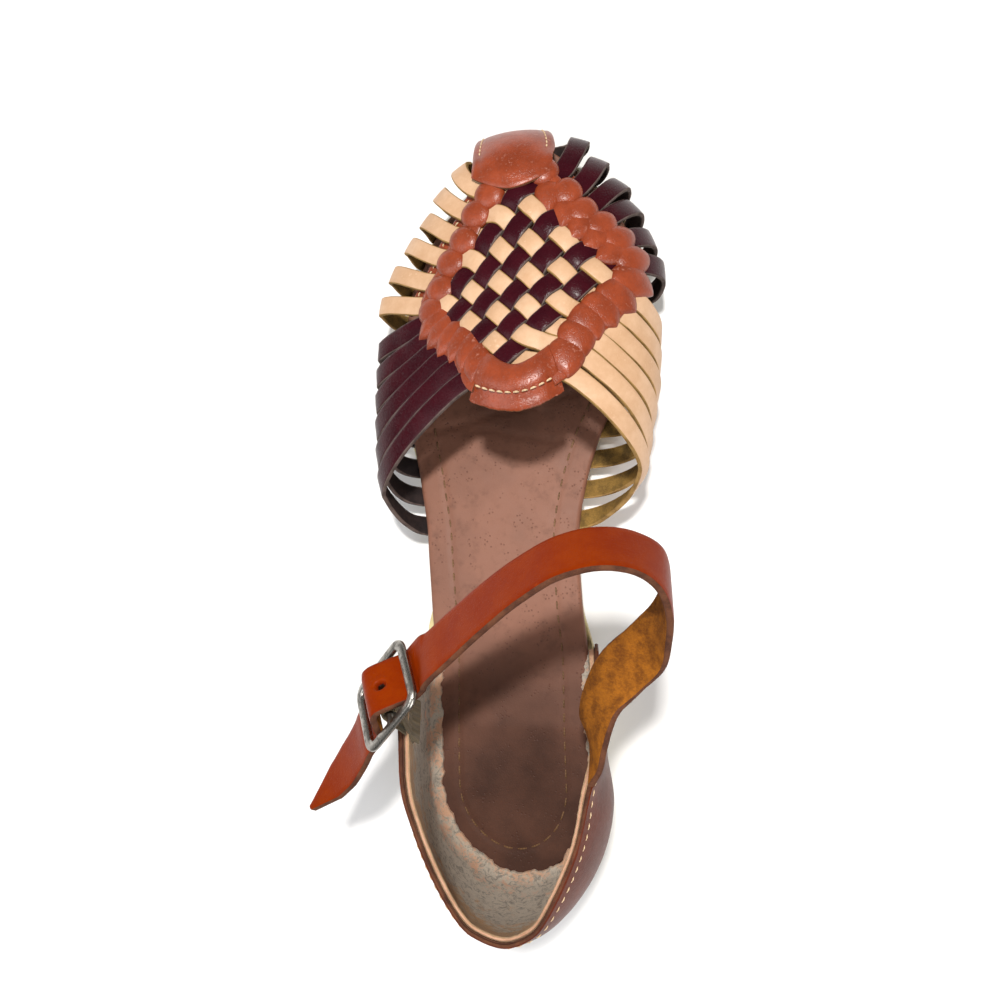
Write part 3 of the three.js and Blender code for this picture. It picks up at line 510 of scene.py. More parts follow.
class Signal:
    """The output of a node, used in Python expressions: each operator adds a Math node."""

    def __init__(self, graph: "Graph", socket: bpy.types.NodeSocket) -> None:
        """Keeps the socket and the graph it belongs to."""
        self.graph = graph
        self.socket = socket

    def _maths(self, operation: str, first: Any, second: Any, clamp: bool = False) -> "Signal":
        """Returns a Math node's output for two signals or numbers."""
        settings = {"operation": operation, "use_clamp": clamp}
        return self.graph.node("ShaderNodeMath", settings, {0: first, 1: second})

    def __add__(self, other: Any) -> "Signal":
        """Returns the sum."""
        return self._maths("ADD", self, other)

    __radd__ = __add__

    def __sub__(self, other: Any) -> "Signal":
        """Returns the difference."""
        return self._maths("SUBTRACT", self, other)

    def __rsub__(self, other: Any) -> "Signal":
        """Returns the difference, the other way round."""
        return self._maths("SUBTRACT", other, self)

    def __mul__(self, other: Any) -> "Signal":
        """Returns the product."""
        return self._maths("MULTIPLY", self, other)

    __rmul__ = __mul__

    def held(self) -> "Signal":
        """Returns the value held between 0 and 1."""
        return self._maths("ADD", self, 0.0, clamp=True)

    def sine(self) -> "Signal":
        """Returns the sine of the value in radians."""
        return self._maths("SINE", self, 0.0)

    def span(self, low: float, high: float) -> "Signal":
        """Returns 0 below low, 1 above high and a soft rise in between."""
        settings = {"interpolation_type": "SMOOTHSTEP"}
        return self.graph.node("ShaderNodeMapRange", settings, {"Value": self, 1: low, 2: high})


class Graph:
    """A material's nodes, with one method that adds any of them."""

    def __init__(self, name: str) -> None:
        """Starts an empty material.

        Args:
            name: The material's name.
        """
        self.material = bpy.data.materials.new(name)
        self.material.use_nodes = True
        self.tree = self.material.node_tree
        self.tree.nodes.clear()

    def node(self, kind: str, settings: dict[str, Any] | None = None,
             inputs: dict[Any, Any] | None = None, output: int | str = 0) -> Signal:
        """Adds a node.

        Args:
            kind: The node's type.
            settings: Its properties, set first.
            inputs: A value or a signal for each socket, by name or number.
            output: Which output to return.

        Returns:
            The output as a signal.
        """
        added = self.tree.nodes.new(kind)
        for key, value in (settings or {}).items():
            setattr(added, key, value)
        for key, value in (inputs or {}).items():
            socket = added.inputs[key]
            if isinstance(value, Signal):
                self.tree.links.new(value.socket, socket)
            elif hasattr(socket.default_value, "__len__") and np.ndim(value) == 0:
                socket.default_value = [value] * len(socket.default_value)
            elif socket.type == "RGBA" and len(value) == 3:
                socket.default_value = (*value, 1.0)
            else:
                socket.default_value = value
        return Signal(self, added.outputs[output] if added.outputs else None)

    def millimetres(self, where: Signal, stretch: Triple = (1, 1, 1)) -> Signal:
        """Returns a place in mm, stretched along each axis."""
        factor = tuple(part / METRES for part in stretch)
        return self.node("ShaderNodeVectorMath", {"operation": "MULTIPLY"}, {0: where, 1: factor})

    def place(self, stretch: Triple = (1, 1, 1)) -> Signal:
        """Returns the point's place on the object in mm, stretched along each axis."""
        return self.millimetres(self.node("ShaderNodeTexCoord", output="Object"), stretch)

    def surface_axis(self, axis: int) -> Signal:
        """Returns one coordinate, in mm, of the point's place on its own surface."""
        where = self.millimetres(self.node("ShaderNodeUVMap", {"uv_map": "place"}))
        return self.node("ShaderNodeSeparateXYZ", inputs={0: where}, output=axis)

    def tone(self) -> Signal:
        """Returns the mesh's own tone."""
        return self.node("ShaderNodeAttribute", {"attribute_name": "tone"}, output="Fac")

    def noise(self, where: Signal, size: float, detail: float = 3.0, rough: float = 0.55,
              twist: float = 0.0) -> Signal:
        """Adds a soft noise.

        Args:
            where: The place in mm.
            size: About how wide its lumps are, in mm.
            detail: How many finer noises lie on it.
            rough: How strong they are.
            twist: How far it is drawn about.

        Returns:
            The noise.
        """
        inputs = {"Vector": where, "Scale": 1 / size, "Detail": detail, "Roughness": rough,
                  "Distortion": twist}
        return self.node("ShaderNodeTexNoise", inputs=inputs)

    def cells(self, where: Signal, size: float) -> Signal:
        """Returns the distance to the nearest of scattered points about a size apart in mm."""
        return self.node("ShaderNodeTexVoronoi", {"feature": "F1"}, {"Vector": where, "Scale": 1 / size})

    def tint(self, share: Signal, low: Any, high: Any) -> Signal:
        """Returns a colour that goes from low to high with the share."""
        return self.node("ShaderNodeMix", {"data_type": "RGBA"}, {0: share, 6: low, 7: high}, output=2)

    def relief(self, height: Signal, depth: float) -> Signal:
        """Returns the normal of a surface whose height varies by a depth in mm."""
        inputs = {"Height": height, "Distance": depth * METRES, "Strength": 1.0}
        return self.node("ShaderNodeBump", inputs=inputs)

    def finish(self, sockets: dict[str, Any]) -> bpy.types.Material:
        """Adds the shader.

        Args:
            sockets: A value or a signal for each of its sockets, by name.

        Returns:
            The finished material.
        """
        shader = self.node("ShaderNodeBsdfPrincipled", inputs=sockets)
        self.node("ShaderNodeOutputMaterial", inputs={0: shader})
        return self.material


@dataclass(frozen=True)
class GrainLeather:
    """Smooth leather: mottled dye, fine pores, soft wrinkles, edges worn by handling, and worn patches, on
    the frame leather also painted highlight.
    """

    name: str
    colour: Colour
    deep: Colour
    worn: Colour
    roughness: float = 0.4
    mottle: float = 9.0
    pore: float = 0.55
    relief: float = 0.05
    wear_and_highlight: float = 0.5
    gloss: float = 0.3
    hole_shade: Colour = (0.012, 0.004, 0.002)

    def material(self) -> bpy.types.Material:
        """Builds the material.

        The colour goes between deep and plain with a broad noise and with the mesh's tone, and
        to the worn colour on high spots of a finer noise; on the frame leather, whose worn colour is
        pale pink, these patches are also painted highlight. Pores and wrinkles lift the normal. A
        tone over 1.4 paints near black the shade inside punched holes, which the mesh has as dimples.

        Returns:
            The material.
        """
        g = Graph(self.name)
        where = g.place()
        broad = g.noise(where, self.mottle, 4.0)
        fine = g.noise(where, self.mottle / 6, 5.0, 0.6)
        pores = g.cells(where, self.pore)
        wrinkles = g.noise(where, self.pore * 3.2, 4.0, 0.65, 0.6)
        depth = (broad.span(0.3, 0.7) * 0.6 + g.tone() * 0.8 + fine.span(0.35, 0.7) * 0.25).held()
        base = g.tint(depth, self.colour, self.deep)
        # Worn patches: real handling marks, and with the frame leather's pale pink worn colour also painted
        # highlight.
        rubbed = (fine.span(0.55, 0.75) * broad.span(0.45, 0.65) * self.wear_and_highlight).held()
        colour = g.tint(rubbed, base, self.worn)
        dots = 1.0 - pores.span(0.0, 0.35)
        colour = g.tint(dots * 0.22, colour, self.deep)
        # Painted shade: a tone over 1.4 turns the grain near black, as the shade inside punched holes.
        colour = g.tint((g.tone() - 1.4).held(), colour, self.hole_shade)
        height = pores.span(0.05, 0.5) * 0.6 + wrinkles * 0.9 + broad * 0.8
        rough = (wrinkles * 0.16 + rubbed * 0.12 + (self.roughness - 0.08)).held()
        return g.finish({
            "Base Color": colour, "Roughness": rough, "Specular IOR Level": self.gloss,
            "Normal": g.relief(height, self.relief),
        })


@dataclass(frozen=True)
class Suede:
    """The flesh side of leather, or its cut edge: short fibres in two colours."""

    name: str
    colour: Colour
    deep: Colour
    fibre: float = 0.5
    relief: float = 0.12
    sheen: float = 0.25
    blotch: float = 5.0

    def material(self) -> bpy.types.Material:
        """Builds the material: blotches by a broad noise, and fibres by a stretched fine one.

        Returns:
            The material.
        """
        g = Graph(self.name)
        broad = g.noise(g.place(), self.blotch, 4.0)
        fibres = g.noise(g.place((1.0, 1.6, 0.8)), self.fibre, 5.0, 0.7, 0.8)
        share = (broad.span(0.35, 0.65) * 0.55 + fibres.span(0.35, 0.7) * 0.45).held()
        colour = g.tint(share, self.deep, self.colour)
        height = fibres + broad * 0.5
        return g.finish({
            "Base Color": colour, "Roughness": (fibres * 0.15 + 0.78).held(),
            "Specular IOR Level": 0.2, "Sheen Weight": self.sheen, "Sheen Roughness": 0.5,
            "Sheen Tint": (*self.colour, 1.0), "Normal": g.relief(height, self.relief),
        })


@dataclass(frozen=True)
class MouldedSole:
    """Pale yellow moulded PVC with scuffs and a little dirt near the floor."""

    name: str = "sole_pvc"
    colour: Colour = (0.66, 0.55, 0.27)
    deep: Colour = (0.45, 0.34, 0.15)
    dirt: Colour = (0.16, 0.11, 0.07)

    def material(self) -> bpy.types.Material:
        """Builds the material: dirt grows towards the floor, over a fine moulded grain.

        Returns:
            The material.
        """
        g = Graph(self.name)
        where = g.place()
        height = g.node("ShaderNodeSeparateXYZ", inputs={0: where}, output=2)
        broad = g.noise(where, 14.0, 4.0)
        scuffs = g.noise(g.place((0.35, 0.35, 2.2)), 3.0, 6.0, 0.7, 0.5)
        grain = g.noise(where, 0.35, 3.0)
        low = 1.0 - height.span(0.0, 6.0)
        soiled = (low * scuffs.span(0.4, 0.65) * 0.5 + scuffs.span(0.62, 0.75) * 0.35).held()
        colour = g.tint(soiled, g.tint(broad.span(0.35, 0.7), self.colour, self.deep), self.dirt)
        return g.finish({
            "Base Color": colour, "Roughness": (soiled * 0.25 + grain * 0.1 + 0.42).held(),
            "Subsurface Weight": 0.06, "Subsurface Radius": (0.004, 0.003, 0.0015),
            "Subsurface Scale": 0.4, "Normal": g.relief(grain * 0.4 + scuffs * 0.7, 0.08),
        })


@dataclass(frozen=True)
class InsoleCover:
    """Pinkish brown cover with scattered pores, darker where a foot has pressed it, and with painted shade
    over the heel.
    """

    name: str = "insole_cover"
    colour: Colour = (0.235, 0.102, 0.064)
    # deep is also the colour of the painted shade over the heel.
    deep: Colour = (0.062, 0.027, 0.018)
    pressed: Colour = (0.085, 0.035, 0.025)

    def material(self) -> bpy.types.Material:
        """Builds the material: tone darkens the heel, as painted shade, and the tread, as worn by the foot,
        and pores lie in clusters.

        Returns:
            The material.
        """
        g = Graph(self.name)
        where = g.place()
        broad = g.noise(where, 26.0, 4.0)
        blots = g.noise(where, 5.0, 5.0, 0.6)
        clusters = g.noise(where, 7.0, 2.0).span(0.48, 0.6)
        pores = (1.0 - g.cells(where, 1.3).span(0.12, 0.3)) * clusters
        grain = g.noise(where, 0.6, 4.0, 0.65)
        # The tone in worn is painted shade at the heel and foot marks at the tread.
        worn = (g.tone() + broad.span(0.3, 0.7) * 0.35 - 0.12).held()
        colour = g.tint(worn, self.colour, self.deep)
        colour = g.tint((blots.span(0.5, 0.75) * 0.35).held(), colour, self.deep)
        colour = g.tint((pores * 0.6).held(), colour, self.pressed)
        height = grain * 0.5 + blots * 0.5 - pores * 0.9
        return g.finish({
            "Base Color": colour, "Roughness": (blots * 0.2 + 0.42).held(),
            "Specular IOR Level": 0.22, "Normal": g.relief(height, 0.09),
        })


@dataclass(frozen=True)
class FeltLining:
    """Worn lining: gold near the rim, grey matted felt below it and pink tan near the insole."""

    name: str = "lining_felt"
    rim: Colour = (0.66, 0.38, 0.17)
    felt: Colour = (0.62, 0.53, 0.42)
    spot: Colour = (0.13, 0.10, 0.075)
    foot: Colour = (0.74, 0.41, 0.24)
    fibre: Colour = (0.80, 0.72, 0.60)

    def material(self) -> bpy.types.Material:
        """Builds the material: tone is the height, from 0 at the foot to 1 at the rim.

        Returns:
            The material.
        """
        g = Graph(self.name)
        where = g.place()
        lumps = g.noise(where, 7.0, 6.0, 0.7, 0.4)
        fibres = g.noise(g.place((1, 1, 1.7)), 1.1, 7.0, 0.8, 2.0)
        matted = g.noise(where, 2.4, 6.0, 0.75, 1.2)
        level = g.tone() + (lumps - 0.5) * 1.5 + (matted - 0.5) * 0.7
        upper = level.span(0.54, 0.80)
        lower = 1.0 - level.span(-0.02, 0.2)
        colour = g.tint(upper, self.felt, self.rim)
        colour = g.tint(lower, colour, self.foot)
        spots = matted.span(0.47, 0.62) * (1.0 - upper * 0.6) * (1.0 - lower * 0.6)
        colour = g.tint((spots * 0.65).held(), colour, self.spot)
        colour = g.tint((fibres.span(0.5, 0.72) * 0.5).held(), colour, self.fibre)
        colour = g.tint(((1.0 - fibres.span(0.3, 0.45)) * 0.4).held(), colour, self.spot)
        return g.finish({
            "Base Color": colour, "Roughness": 0.9, "Specular IOR Level": 0.15,
            "Sheen Weight": 0.3, "Sheen Roughness": 0.6,
            "Normal": g.relief(fibres + lumps * 0.6 + matted * 0.8, 0.8),
        })


@dataclass(frozen=True)
class AgedMetal:
    """Antique nickel: dark in the hollows and bright where it has been rubbed."""

    name: str = "buckle_nickel"
    bright: Colour = (0.40, 0.375, 0.335)
    dark: Colour = (0.055, 0.046, 0.037)

    def material(self) -> bpy.types.Material:
        """Builds the material: tarnish by a patchy noise, cut back by the mesh's tone.

        Returns:
            The material.
        """
        g = Graph(self.name)
        where = g.place()
        patches = g.noise(where, 2.2, 6.0, 0.7, 0.6)
        scratches = g.noise(g.place((4.0, 0.5, 0.5)), 0.5, 3.0)
        dull = (patches.span(0.38, 0.68) * 0.85 + 0.1 - g.tone() * 0.7).held()
        colour = g.tint(dull, self.bright, self.dark)
        rough = (dull * 0.3 + scratches * 0.15 + 0.2).held()
        return g.finish({
            "Base Color": colour, "Metallic": 1.0, "Roughness": rough,
            "Normal": g.relief(patches * 0.4 + scratches * 0.4, 0.03),
        })


@dataclass(frozen=True)
class HerringboneElastic:
    """Olive gold elastic: ribs along it, crossed by slanted threads that turn at each rib."""

    name: str = "elastic_herringbone"
    colour: Colour = (0.20, 0.14, 0.05)
    deep: Colour = (0.07, 0.045, 0.018)
    rib: float = 1.6
    thread: float = 0.7

    def material(self) -> bpy.types.Material:
        """Builds the material: the threads' phase zigzags across the ribs.

        Returns:
            The material.
        """
        g = Graph(self.name)
        along = g.surface_axis(0)
        across = g.surface_axis(1)
        zigzag = g.node("ShaderNodeMath", {"operation": "PINGPONG"}, {0: across, 1: self.rib})
        threads = ((along + zigzag) * (2 * math.pi / self.thread)).sine() * 0.5 + 0.5
        ribs = (across * (math.pi / self.rib)).sine()
        ribs = ribs * ribs
        fuzz = g.noise(g.place(), 0.4, 4.0)
        share = (threads * 0.6 + ribs * 0.3 + fuzz * 0.3 - 0.1).held()
        return g.finish({
            "Base Color": g.tint(share, self.deep, self.colour), "Roughness": 0.8,
            "Sheen Weight": 0.2, "Normal": g.relief(threads * 0.7 + ribs * 0.5, 0.25),
        })


@dataclass(frozen=True)
class SewingThread:
    """Twisted thread."""

    name: str
    colour: Colour
    deep: Colour

    def material(self) -> bpy.types.Material:
        """Builds the material: a slanted twist along each stitch, and tone for its shade.

        Returns:
            The material.
        """
        g = Graph(self.name)
        twist = (g.surface_axis(0) * 7.0 + g.surface_axis(1) * 5.0).sine() * 0.5 + 0.5
        fuzz = g.noise(g.place(), 0.5, 4.0)
        share = (twist * 0.45 + g.tone() * 0.3 + fuzz * 0.25).held()
        return g.finish({
            "Base Color": g.tint(share, self.colour, self.deep), "Roughness": 0.7,
            "Normal": g.relief(twist, 0.08),
        })


@dataclass(frozen=True)
class PaleFloor:
    """A plain pale floor with a trace of unevenness."""

    name: str = "studio_floor"
    colour: Colour = (0.86, 0.855, 0.85)

    def material(self) -> bpy.types.Material:
        """Builds the material.

        Returns:
            The material.
        """
        g = Graph(self.name)
        soft = g.noise(g.place(), 60.0, 2.0)
        colour = g.tint(soft, self.colour, tuple(0.97 * part for part in self.colour))
        return g.finish({"Base Color": colour, "Roughness": 0.75})


class Leathers:
    """The leathers and threads of the sandal, each made once."""

    def __init__(self) -> None:
        """Builds every material that more than one sub-assembly wears."""
        self.cream = GrainLeather("strap_cream", (0.66, 0.43, 0.27), (0.52, 0.30, 0.16),
                                  (0.80, 0.58, 0.40), roughness=0.48, mottle=10.0,
                                  relief=0.035).material()
        self.cream_suede = Suede("strap_cream_flesh", (0.30, 0.17, 0.040), (0.075, 0.045, 0.015)).material()
        self.cream_edge = Suede("strap_cream_edge", (0.42, 0.25, 0.085), (0.16, 0.09, 0.03), 0.35).material()
        self.burgundy = GrainLeather("strap_burgundy", (0.045, 0.004, 0.008), (0.026, 0.002, 0.005),
                                     (0.075, 0.016, 0.024), roughness=0.28, mottle=7.0, relief=0.06,
                                     wear_and_highlight=0.3, gloss=0.13).material()
        self.burgundy_suede = Suede("strap_burgundy_flesh", (0.035, 0.022, 0.02), (0.012, 0.008, 0.008),
                                    sheen=0.1).material()
        self.burgundy_edge = Suede("strap_burgundy_edge", (0.16, 0.115, 0.10), (0.05, 0.035, 0.03), 0.35,
                                   sheen=0.1).material()
        # The pale pink worn colour at full strength also paints the lobes' highlights.
        self.cognac = GrainLeather("frame_cognac", (0.31, 0.055, 0.018), (0.16, 0.024, 0.006),
                                   (0.52, 0.21, 0.145), roughness=0.33, mottle=8.0, relief=0.08,
                                   wear_and_highlight=1.0, gloss=0.42).material()
        self.cognac_edge = Suede("frame_edge", (0.26, 0.10, 0.045), (0.09, 0.03, 0.012), 0.35).material()
        self.dark = GrainLeather("quarter_cognac", (0.115, 0.020, 0.006), (0.055, 0.010, 0.004),
                                 (0.20, 0.05, 0.022), roughness=0.4, mottle=16.0, relief=0.05,
                                 wear_and_highlight=0.4, gloss=0.08).material()
        self.dark_edge = Suede("quarter_edge", (0.15, 0.055, 0.025), (0.045, 0.016, 0.010), 0.35).material()
        self.ankle = GrainLeather("ankle_cognac", (0.24, 0.029, 0.0010), (0.18, 0.014, 0.0006),
                                  (0.36, 0.055, 0.004), roughness=0.34, mottle=12.0, relief=0.06,
                                  wear_and_highlight=0.4, gloss=0.04).material()
        self.gold_suede = Suede("ankle_flesh", (0.36, 0.12, 0.008), (0.12, 0.035, 0.003), 0.9, 0.25, 0.1,
                                blotch=4.0).material()
        self.lining = FeltLining().material()
        self.pale_thread = SewingThread("thread_pale", (0.78, 0.58, 0.36), (0.45, 0.30, 0.16)).material()
        self.insole_thread = SewingThread("thread_ochre", (0.22, 0.11, 0.045), (0.10, 0.05, 0.02)).material()


# ---- The foot's form ----


class Side(Enum):
    """The two sides of a left shoe, by the sign of x."""

    LATERAL = -1
    MEDIAL = 1


@dataclass
class Last:
    """The form that every piece follows: the sole's levels, its outline, and the straps' form.

    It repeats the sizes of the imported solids.
    """

    insole_back: float = -30.0
    insole_front: float = 219.0
    toe_cap_start: float = 180.0
    sole_thickness: float = 5.6
    heel_breast: float = 34.0
    gap: float = 0.3
    strap_thickness: float = 1.6
    tuck_length: float = 8.0
    insole_rise: float = 4.7
    quarter_thickness: float = 3.0
    footprint: Table = field(default_factory=lambda: Table("y axis lateral medial", [
        (-30, 3, 26, 27), (0, 0.5, 26.5, 27), (20, 0, 26.3, 26.8), (42, -0.2, 26.4, 26.4),
        (60, -1.7, 26.4, 25.8), (83, -3.8, 26.6, 26.4), (100, -4.6, 28.6, 29.2),
        (117, -3.6, 33, 32.8), (135, -0.5, 38.5, 37.5), (152, 1.8, 41.8, 41.2),
        (168, 3.2, 41, 41.2), (180, 4, 36.5, 38.5), (190, 4.4, 33.5, 35.5),
        (200, 4.7, 28.5, 30.5), (210, 5, 22.5, 26), (220, 5, 16, 19),
    ]))
    sole_growth: Table = field(default_factory=lambda: Table("y lateral medial", [
        (-33, 3.5, 3.5), (30, 3.5, 3.5), (50, 3, 1), (60, 0.4, -0.4), (80, -0.6, -0.6),
        (92, -0.6, -1), (108, 1, -1), (135, 2, 2), (222, 2, 2),
    ]))
    sole_levels: Table = field(default_factory=lambda: Table("y z", [
        (20, 17), (60, 13.5), (90, 8.8), (115, 6), (135, 5.2), (165, 5), (185, 5.6),
        (200, 7), (212, 9), (220, 10.6),
    ]))
    widths: Table = field(default_factory=lambda: Table("y lateral medial", [
        (84, -34.4, 28), (91, -38.9, 34), (99, -41.4, 40.4), (108, -42.8, 44.7),
        (117, -43.6, 45.9), (135, -44.6, 48.4), (150, -44.2, 48.9), (162, -42.6, 49.2),
        (171.7, -39.3, 48.2), (179.5, -35.2, 45.4), (187, -29.9, 41.9), (198, -23.6, 36.4),
        (206, -16.2, 29.4), (215, -5.4, 21.4),
    ]))
    ridge: Table = field(default_factory=lambda: Table(
        "y x rise belt lateral_slope lateral_edge medial_slope medial_edge", [
            (84, 10, 52, 18, 1.9, 0.6, 2.2, 0.46), (95, 10, 52.5, 19.5, 1.8, 0.65, 2.2, 0.46),
            (108, 10, 51.5, 19.7, 1.7, 0.7, 2.2, 0.46), (122, 11, 49.5, 18.7, 1.6, 0.75, 2.2, 0.46),
            (135, 12, 46, 16.8, 1.5, 0.8, 2.1, 0.47), (150, 15, 41.5, 15, 1.45, 0.85, 2.1, 0.47),
            (162, 17, 38, 13.8, 1.4, 0.85, 2.1, 0.47), (175, 15, 34, 12.6, 1.45, 0.8, 2.2, 0.46),
            (187, 11, 30, 10.9, 1.6, 0.7, 2.4, 0.44), (198, 7, 25.5, 9, 1.9, 0.55, 2.6, 0.4),
            (206, 5, 21, 7.6, 2.4, 0.42, 2.8, 0.36), (214, 5, 15, 6.2, 3, 0.33, 3, 0.33),
            (220, 5, 8, 5, 3, 0.33, 3, 0.33),
        ]))

    def sole_top(self, y: Array | float) -> Array:
        """Returns the level of the outsole's top."""
        return self.sole_levels.at("z", y)

    def sole_bottom(self, y: Array) -> Array:
        """Returns the level of its underside: flat under heel and ball, arched between."""
        shank = np.maximum(0, self.sole_top(y) - self.sole_thickness)
        return shank * np.clip((y - self.heel_breast) / 2, 0, 1)

    def tuck_level(self, y: Array | float) -> Array:
        """Returns the inner level of what is tucked between insole and outsole."""
        return self.sole_top(y) + 1.5 * self.gap + self.strap_thickness

    def outline(self, y: Array, lateral: Array | float = 0.0, medial: Array | float = 0.0,
                back: float = 0.0, front: float = 0.0) -> tuple[Array, Array]:
        """Returns the insole's two edges at y.

        Each is the axis plus or minus its half width, times the root of one less the square of
        how far y is past the heel's middle or the toe cap's start.

        Args:
            y: Places along the foot.
            lateral: How far the outline has grown on the lateral side.
            medial: The same on the medial side.
            back: The same at the back.
            front: The same at the front.

        Returns:
            The lateral and the medial x.
        """
        y = np.asarray(y, float)
        heel = np.sqrt(np.clip(1 - (np.minimum(y, 0) / (self.insole_back - back)) ** 2, 0, 1))
        reach = np.maximum(0, (y - self.toe_cap_start) / (self.insole_front + front - self.toe_cap_start))
        cap = np.sqrt(np.clip(1 - reach ** 2, 0, 1))
        axis = self.footprint.at("axis", y)
        low = axis - (self.footprint.at("lateral", y) + lateral) * heel * cap
        high = axis + (self.footprint.at("medial", y) + medial) * heel * cap
        return low, high

    def stations(self, back: float, front: float, count: int) -> Array:
        """Returns places along the foot that crowd together towards its round ends.

        Args:
            back: The first place.
            front: The last place.
            count: How many lie evenly between heel and toe cap.

        Returns:
            The rising places.
        """
        turn = np.radians(np.linspace(1.5, 90, 24))[:-1]
        heel = back * np.cos(turn)
        toe = self.toe_cap_start + (front - self.toe_cap_start) * np.sin(np.radians(90) - turn)[::-1]
        return np.concatenate([heel, np.linspace(0, self.toe_cap_start, count), toe])

    def inset_loop(self, inset: float, step: float) -> Array:
        """Returns a level closed path inside the insole's outline.

        Args:
            inset: How far it runs from the edge.
            step: The space between its points.

        Returns:
            Rows of x and y.
        """
        back, front = self.insole_back + inset, self.insole_front - inset
        y = self.stations(back, front, 90)
        low, high = self.outline(y, -inset, -inset, -inset, -inset)
        up = np.stack([low, y], axis=1)
        down = np.stack([high, y], axis=1)[::-1]
        ends = np.array([[self.footprint.at("axis", back), back], [self.footprint.at("axis", front), front]])
        loop = np.concatenate([ends[:1], up, ends[1:], down, ends[:1]])
        key = travel_along(loop)
        places = np.linspace(0, key[-1], int(key[-1] / step))
        return np.stack([np.interp(places, key, loop[:, i]) for i in range(2)], axis=1)

    def point(self, y: Array, turn: Array) -> Array:
        """Returns points of the straps' form.

        turn is signed: negative on the lateral side, 0 on the ridge, 1 at the belt line, 2 at
        the insole's edge and 2.4 at the end of the tuck. From ridge to belt the height falls as
        (1 - reach ^ slope) ^ edge, with reach the sine of turn. Below the belt the form curls in
        as the square of the turn, and past the insole's edge it runs level.

        Args:
            y: Places along the foot.
            turn: The signed turn at each.

        Returns:
            The points.
        """
        y, turn = np.broadcast_arrays(np.asarray(y, float), np.asarray(turn, float))
        lateral = turn < 0
        side = np.where(lateral, -1.0, 1.0)
        amount = np.abs(turn)

        def pick(table: Table, name: str) -> Array:
            """Returns a column of the side that each point is on."""
            return np.where(lateral, table.at("lateral" + name, y), table.at("medial" + name, y))

        ridge_x = self.ridge.at("x", y)
        ridge_z = self.sole_top(y) + self.insole_rise + self.ridge.at("rise", y)
        belt_x = pick(self.widths, "")
        tuck_z = self.tuck_level(y)
        belt_z = tuck_z + self.ridge.at("belt", y)
        low, high = self.outline(np.minimum(y, self.insole_front - 1))
        edge_x = np.where(lateral, low, high)
        reach = np.sin(np.minimum(amount, 1) * math.pi / 2)
        fall = (1 - reach ** pick(self.ridge, "_slope")) ** pick(self.ridge, "_edge")
        curl = np.clip(amount - 1, 0, 1)
        upper = np.stack([ridge_x + (belt_x - ridge_x) * reach, y, belt_z + (ridge_z - belt_z) * fall], -1)
        x_low = belt_x * (1 - curl ** 2) + edge_x * curl ** 2
        lower = np.stack([x_low, y, tuck_z + (belt_z - tuck_z) * (1 - curl) ** 2], -1)
        flat_x = edge_x - side * (amount - 2) * (self.tuck_length / 0.4)
        flat = np.stack([flat_x, y, tuck_z], -1)
        return np.where((amount <= 1)[..., None], upper, np.where((amount <= 2)[..., None], lower, flat))

    def normal(self, y: Array, turn: Array) -> Array:
        """Returns the form's outward normals, from points a little way off on each side.

        Args:
            y: Places along the foot.
            turn: The signed turn at each.

        Returns:
            Unit directions.
        """
        along = self.point(y + 0.4, turn) - self.point(y - 0.4, turn)
        around = self.point(y, turn + 0.006) - self.point(y, turn - 0.006)
        return unit(np.cross(around, along))

    def turn_at(self, x: Array, y: Array) -> Array:
        """Returns the signed turn at which the form's upper part passes x.

        Args:
            x: Places across the foot.
            y: Places along it.

        Returns:
            The turns.
        """
        ridge_x = self.ridge.at("x", y)
        belt = np.where(x < ridge_x, self.widths.at("lateral", y), self.widths.at("medial", y))
        reach = np.clip((x - ridge_x) / (belt - ridge_x), 0, 0.999)
        return np.where(x < ridge_x, -1, 1) * np.arcsin(reach) / (math.pi / 2)

    def over(self, x: Array, y: Array, distance: Array | float) -> Array:
        """Returns the points above x, y that stand off the form by a distance.

        Args:
            x: Places across the foot.
            y: Places along it.
            distance: How far they stand off.

        Returns:
            The points.
        """
        x, y, distance = np.broadcast_arrays(x, y, distance)
        turn = self.turn_at(x, y)
        return self.point(y, turn) + self.normal(y, turn) * distance[..., None]


@dataclass
class FramePlan:
    """The leather frame seen from above: radii about its centre, by angle from the medial side."""

    centre: tuple[float, float] = (8.0, 166.0)
    radii: Table = field(default_factory=lambda: Table("angle inner outer wall", [
        (0, 31, 35.5, 34), (25, 26, 31, 29.5), (48, 22.7, 30.3, 28), (70, 27, 35, 33),
        (92, 34, 42, 39), (115, 26, 36, 34), (138, 20.2, 30.3, 28),
        (165, 24, 31.1, 29.5), (192, 29.8, 38, 35.5), (210, 26.5, 39, 36),
        (231, 24.2, 37, 33), (250, 27, 43, 38.5), (268, 31, 44, 39),
        (290, 25, 40, 35.5), (314, 21.6, 33, 30), (338, 26, 35, 33),
        (360, 31, 35.5, 34),
    ]))

    def radius(self, angle: Array | float, name: str) -> Array:
        """Returns a radius of the frame at an angle in degrees."""
        return self.radii.at(name, np.mod(angle, 360))

    def plan(self, angle: Array | float, radius: Array | float) -> tuple[Array, Array]:
        """Returns x and y at an angle and a radius."""
        turn = np.radians(angle)
        return self.centre[0] + radius * np.cos(turn), self.centre[1] + radius * np.sin(turn)


# ---- Soles ----


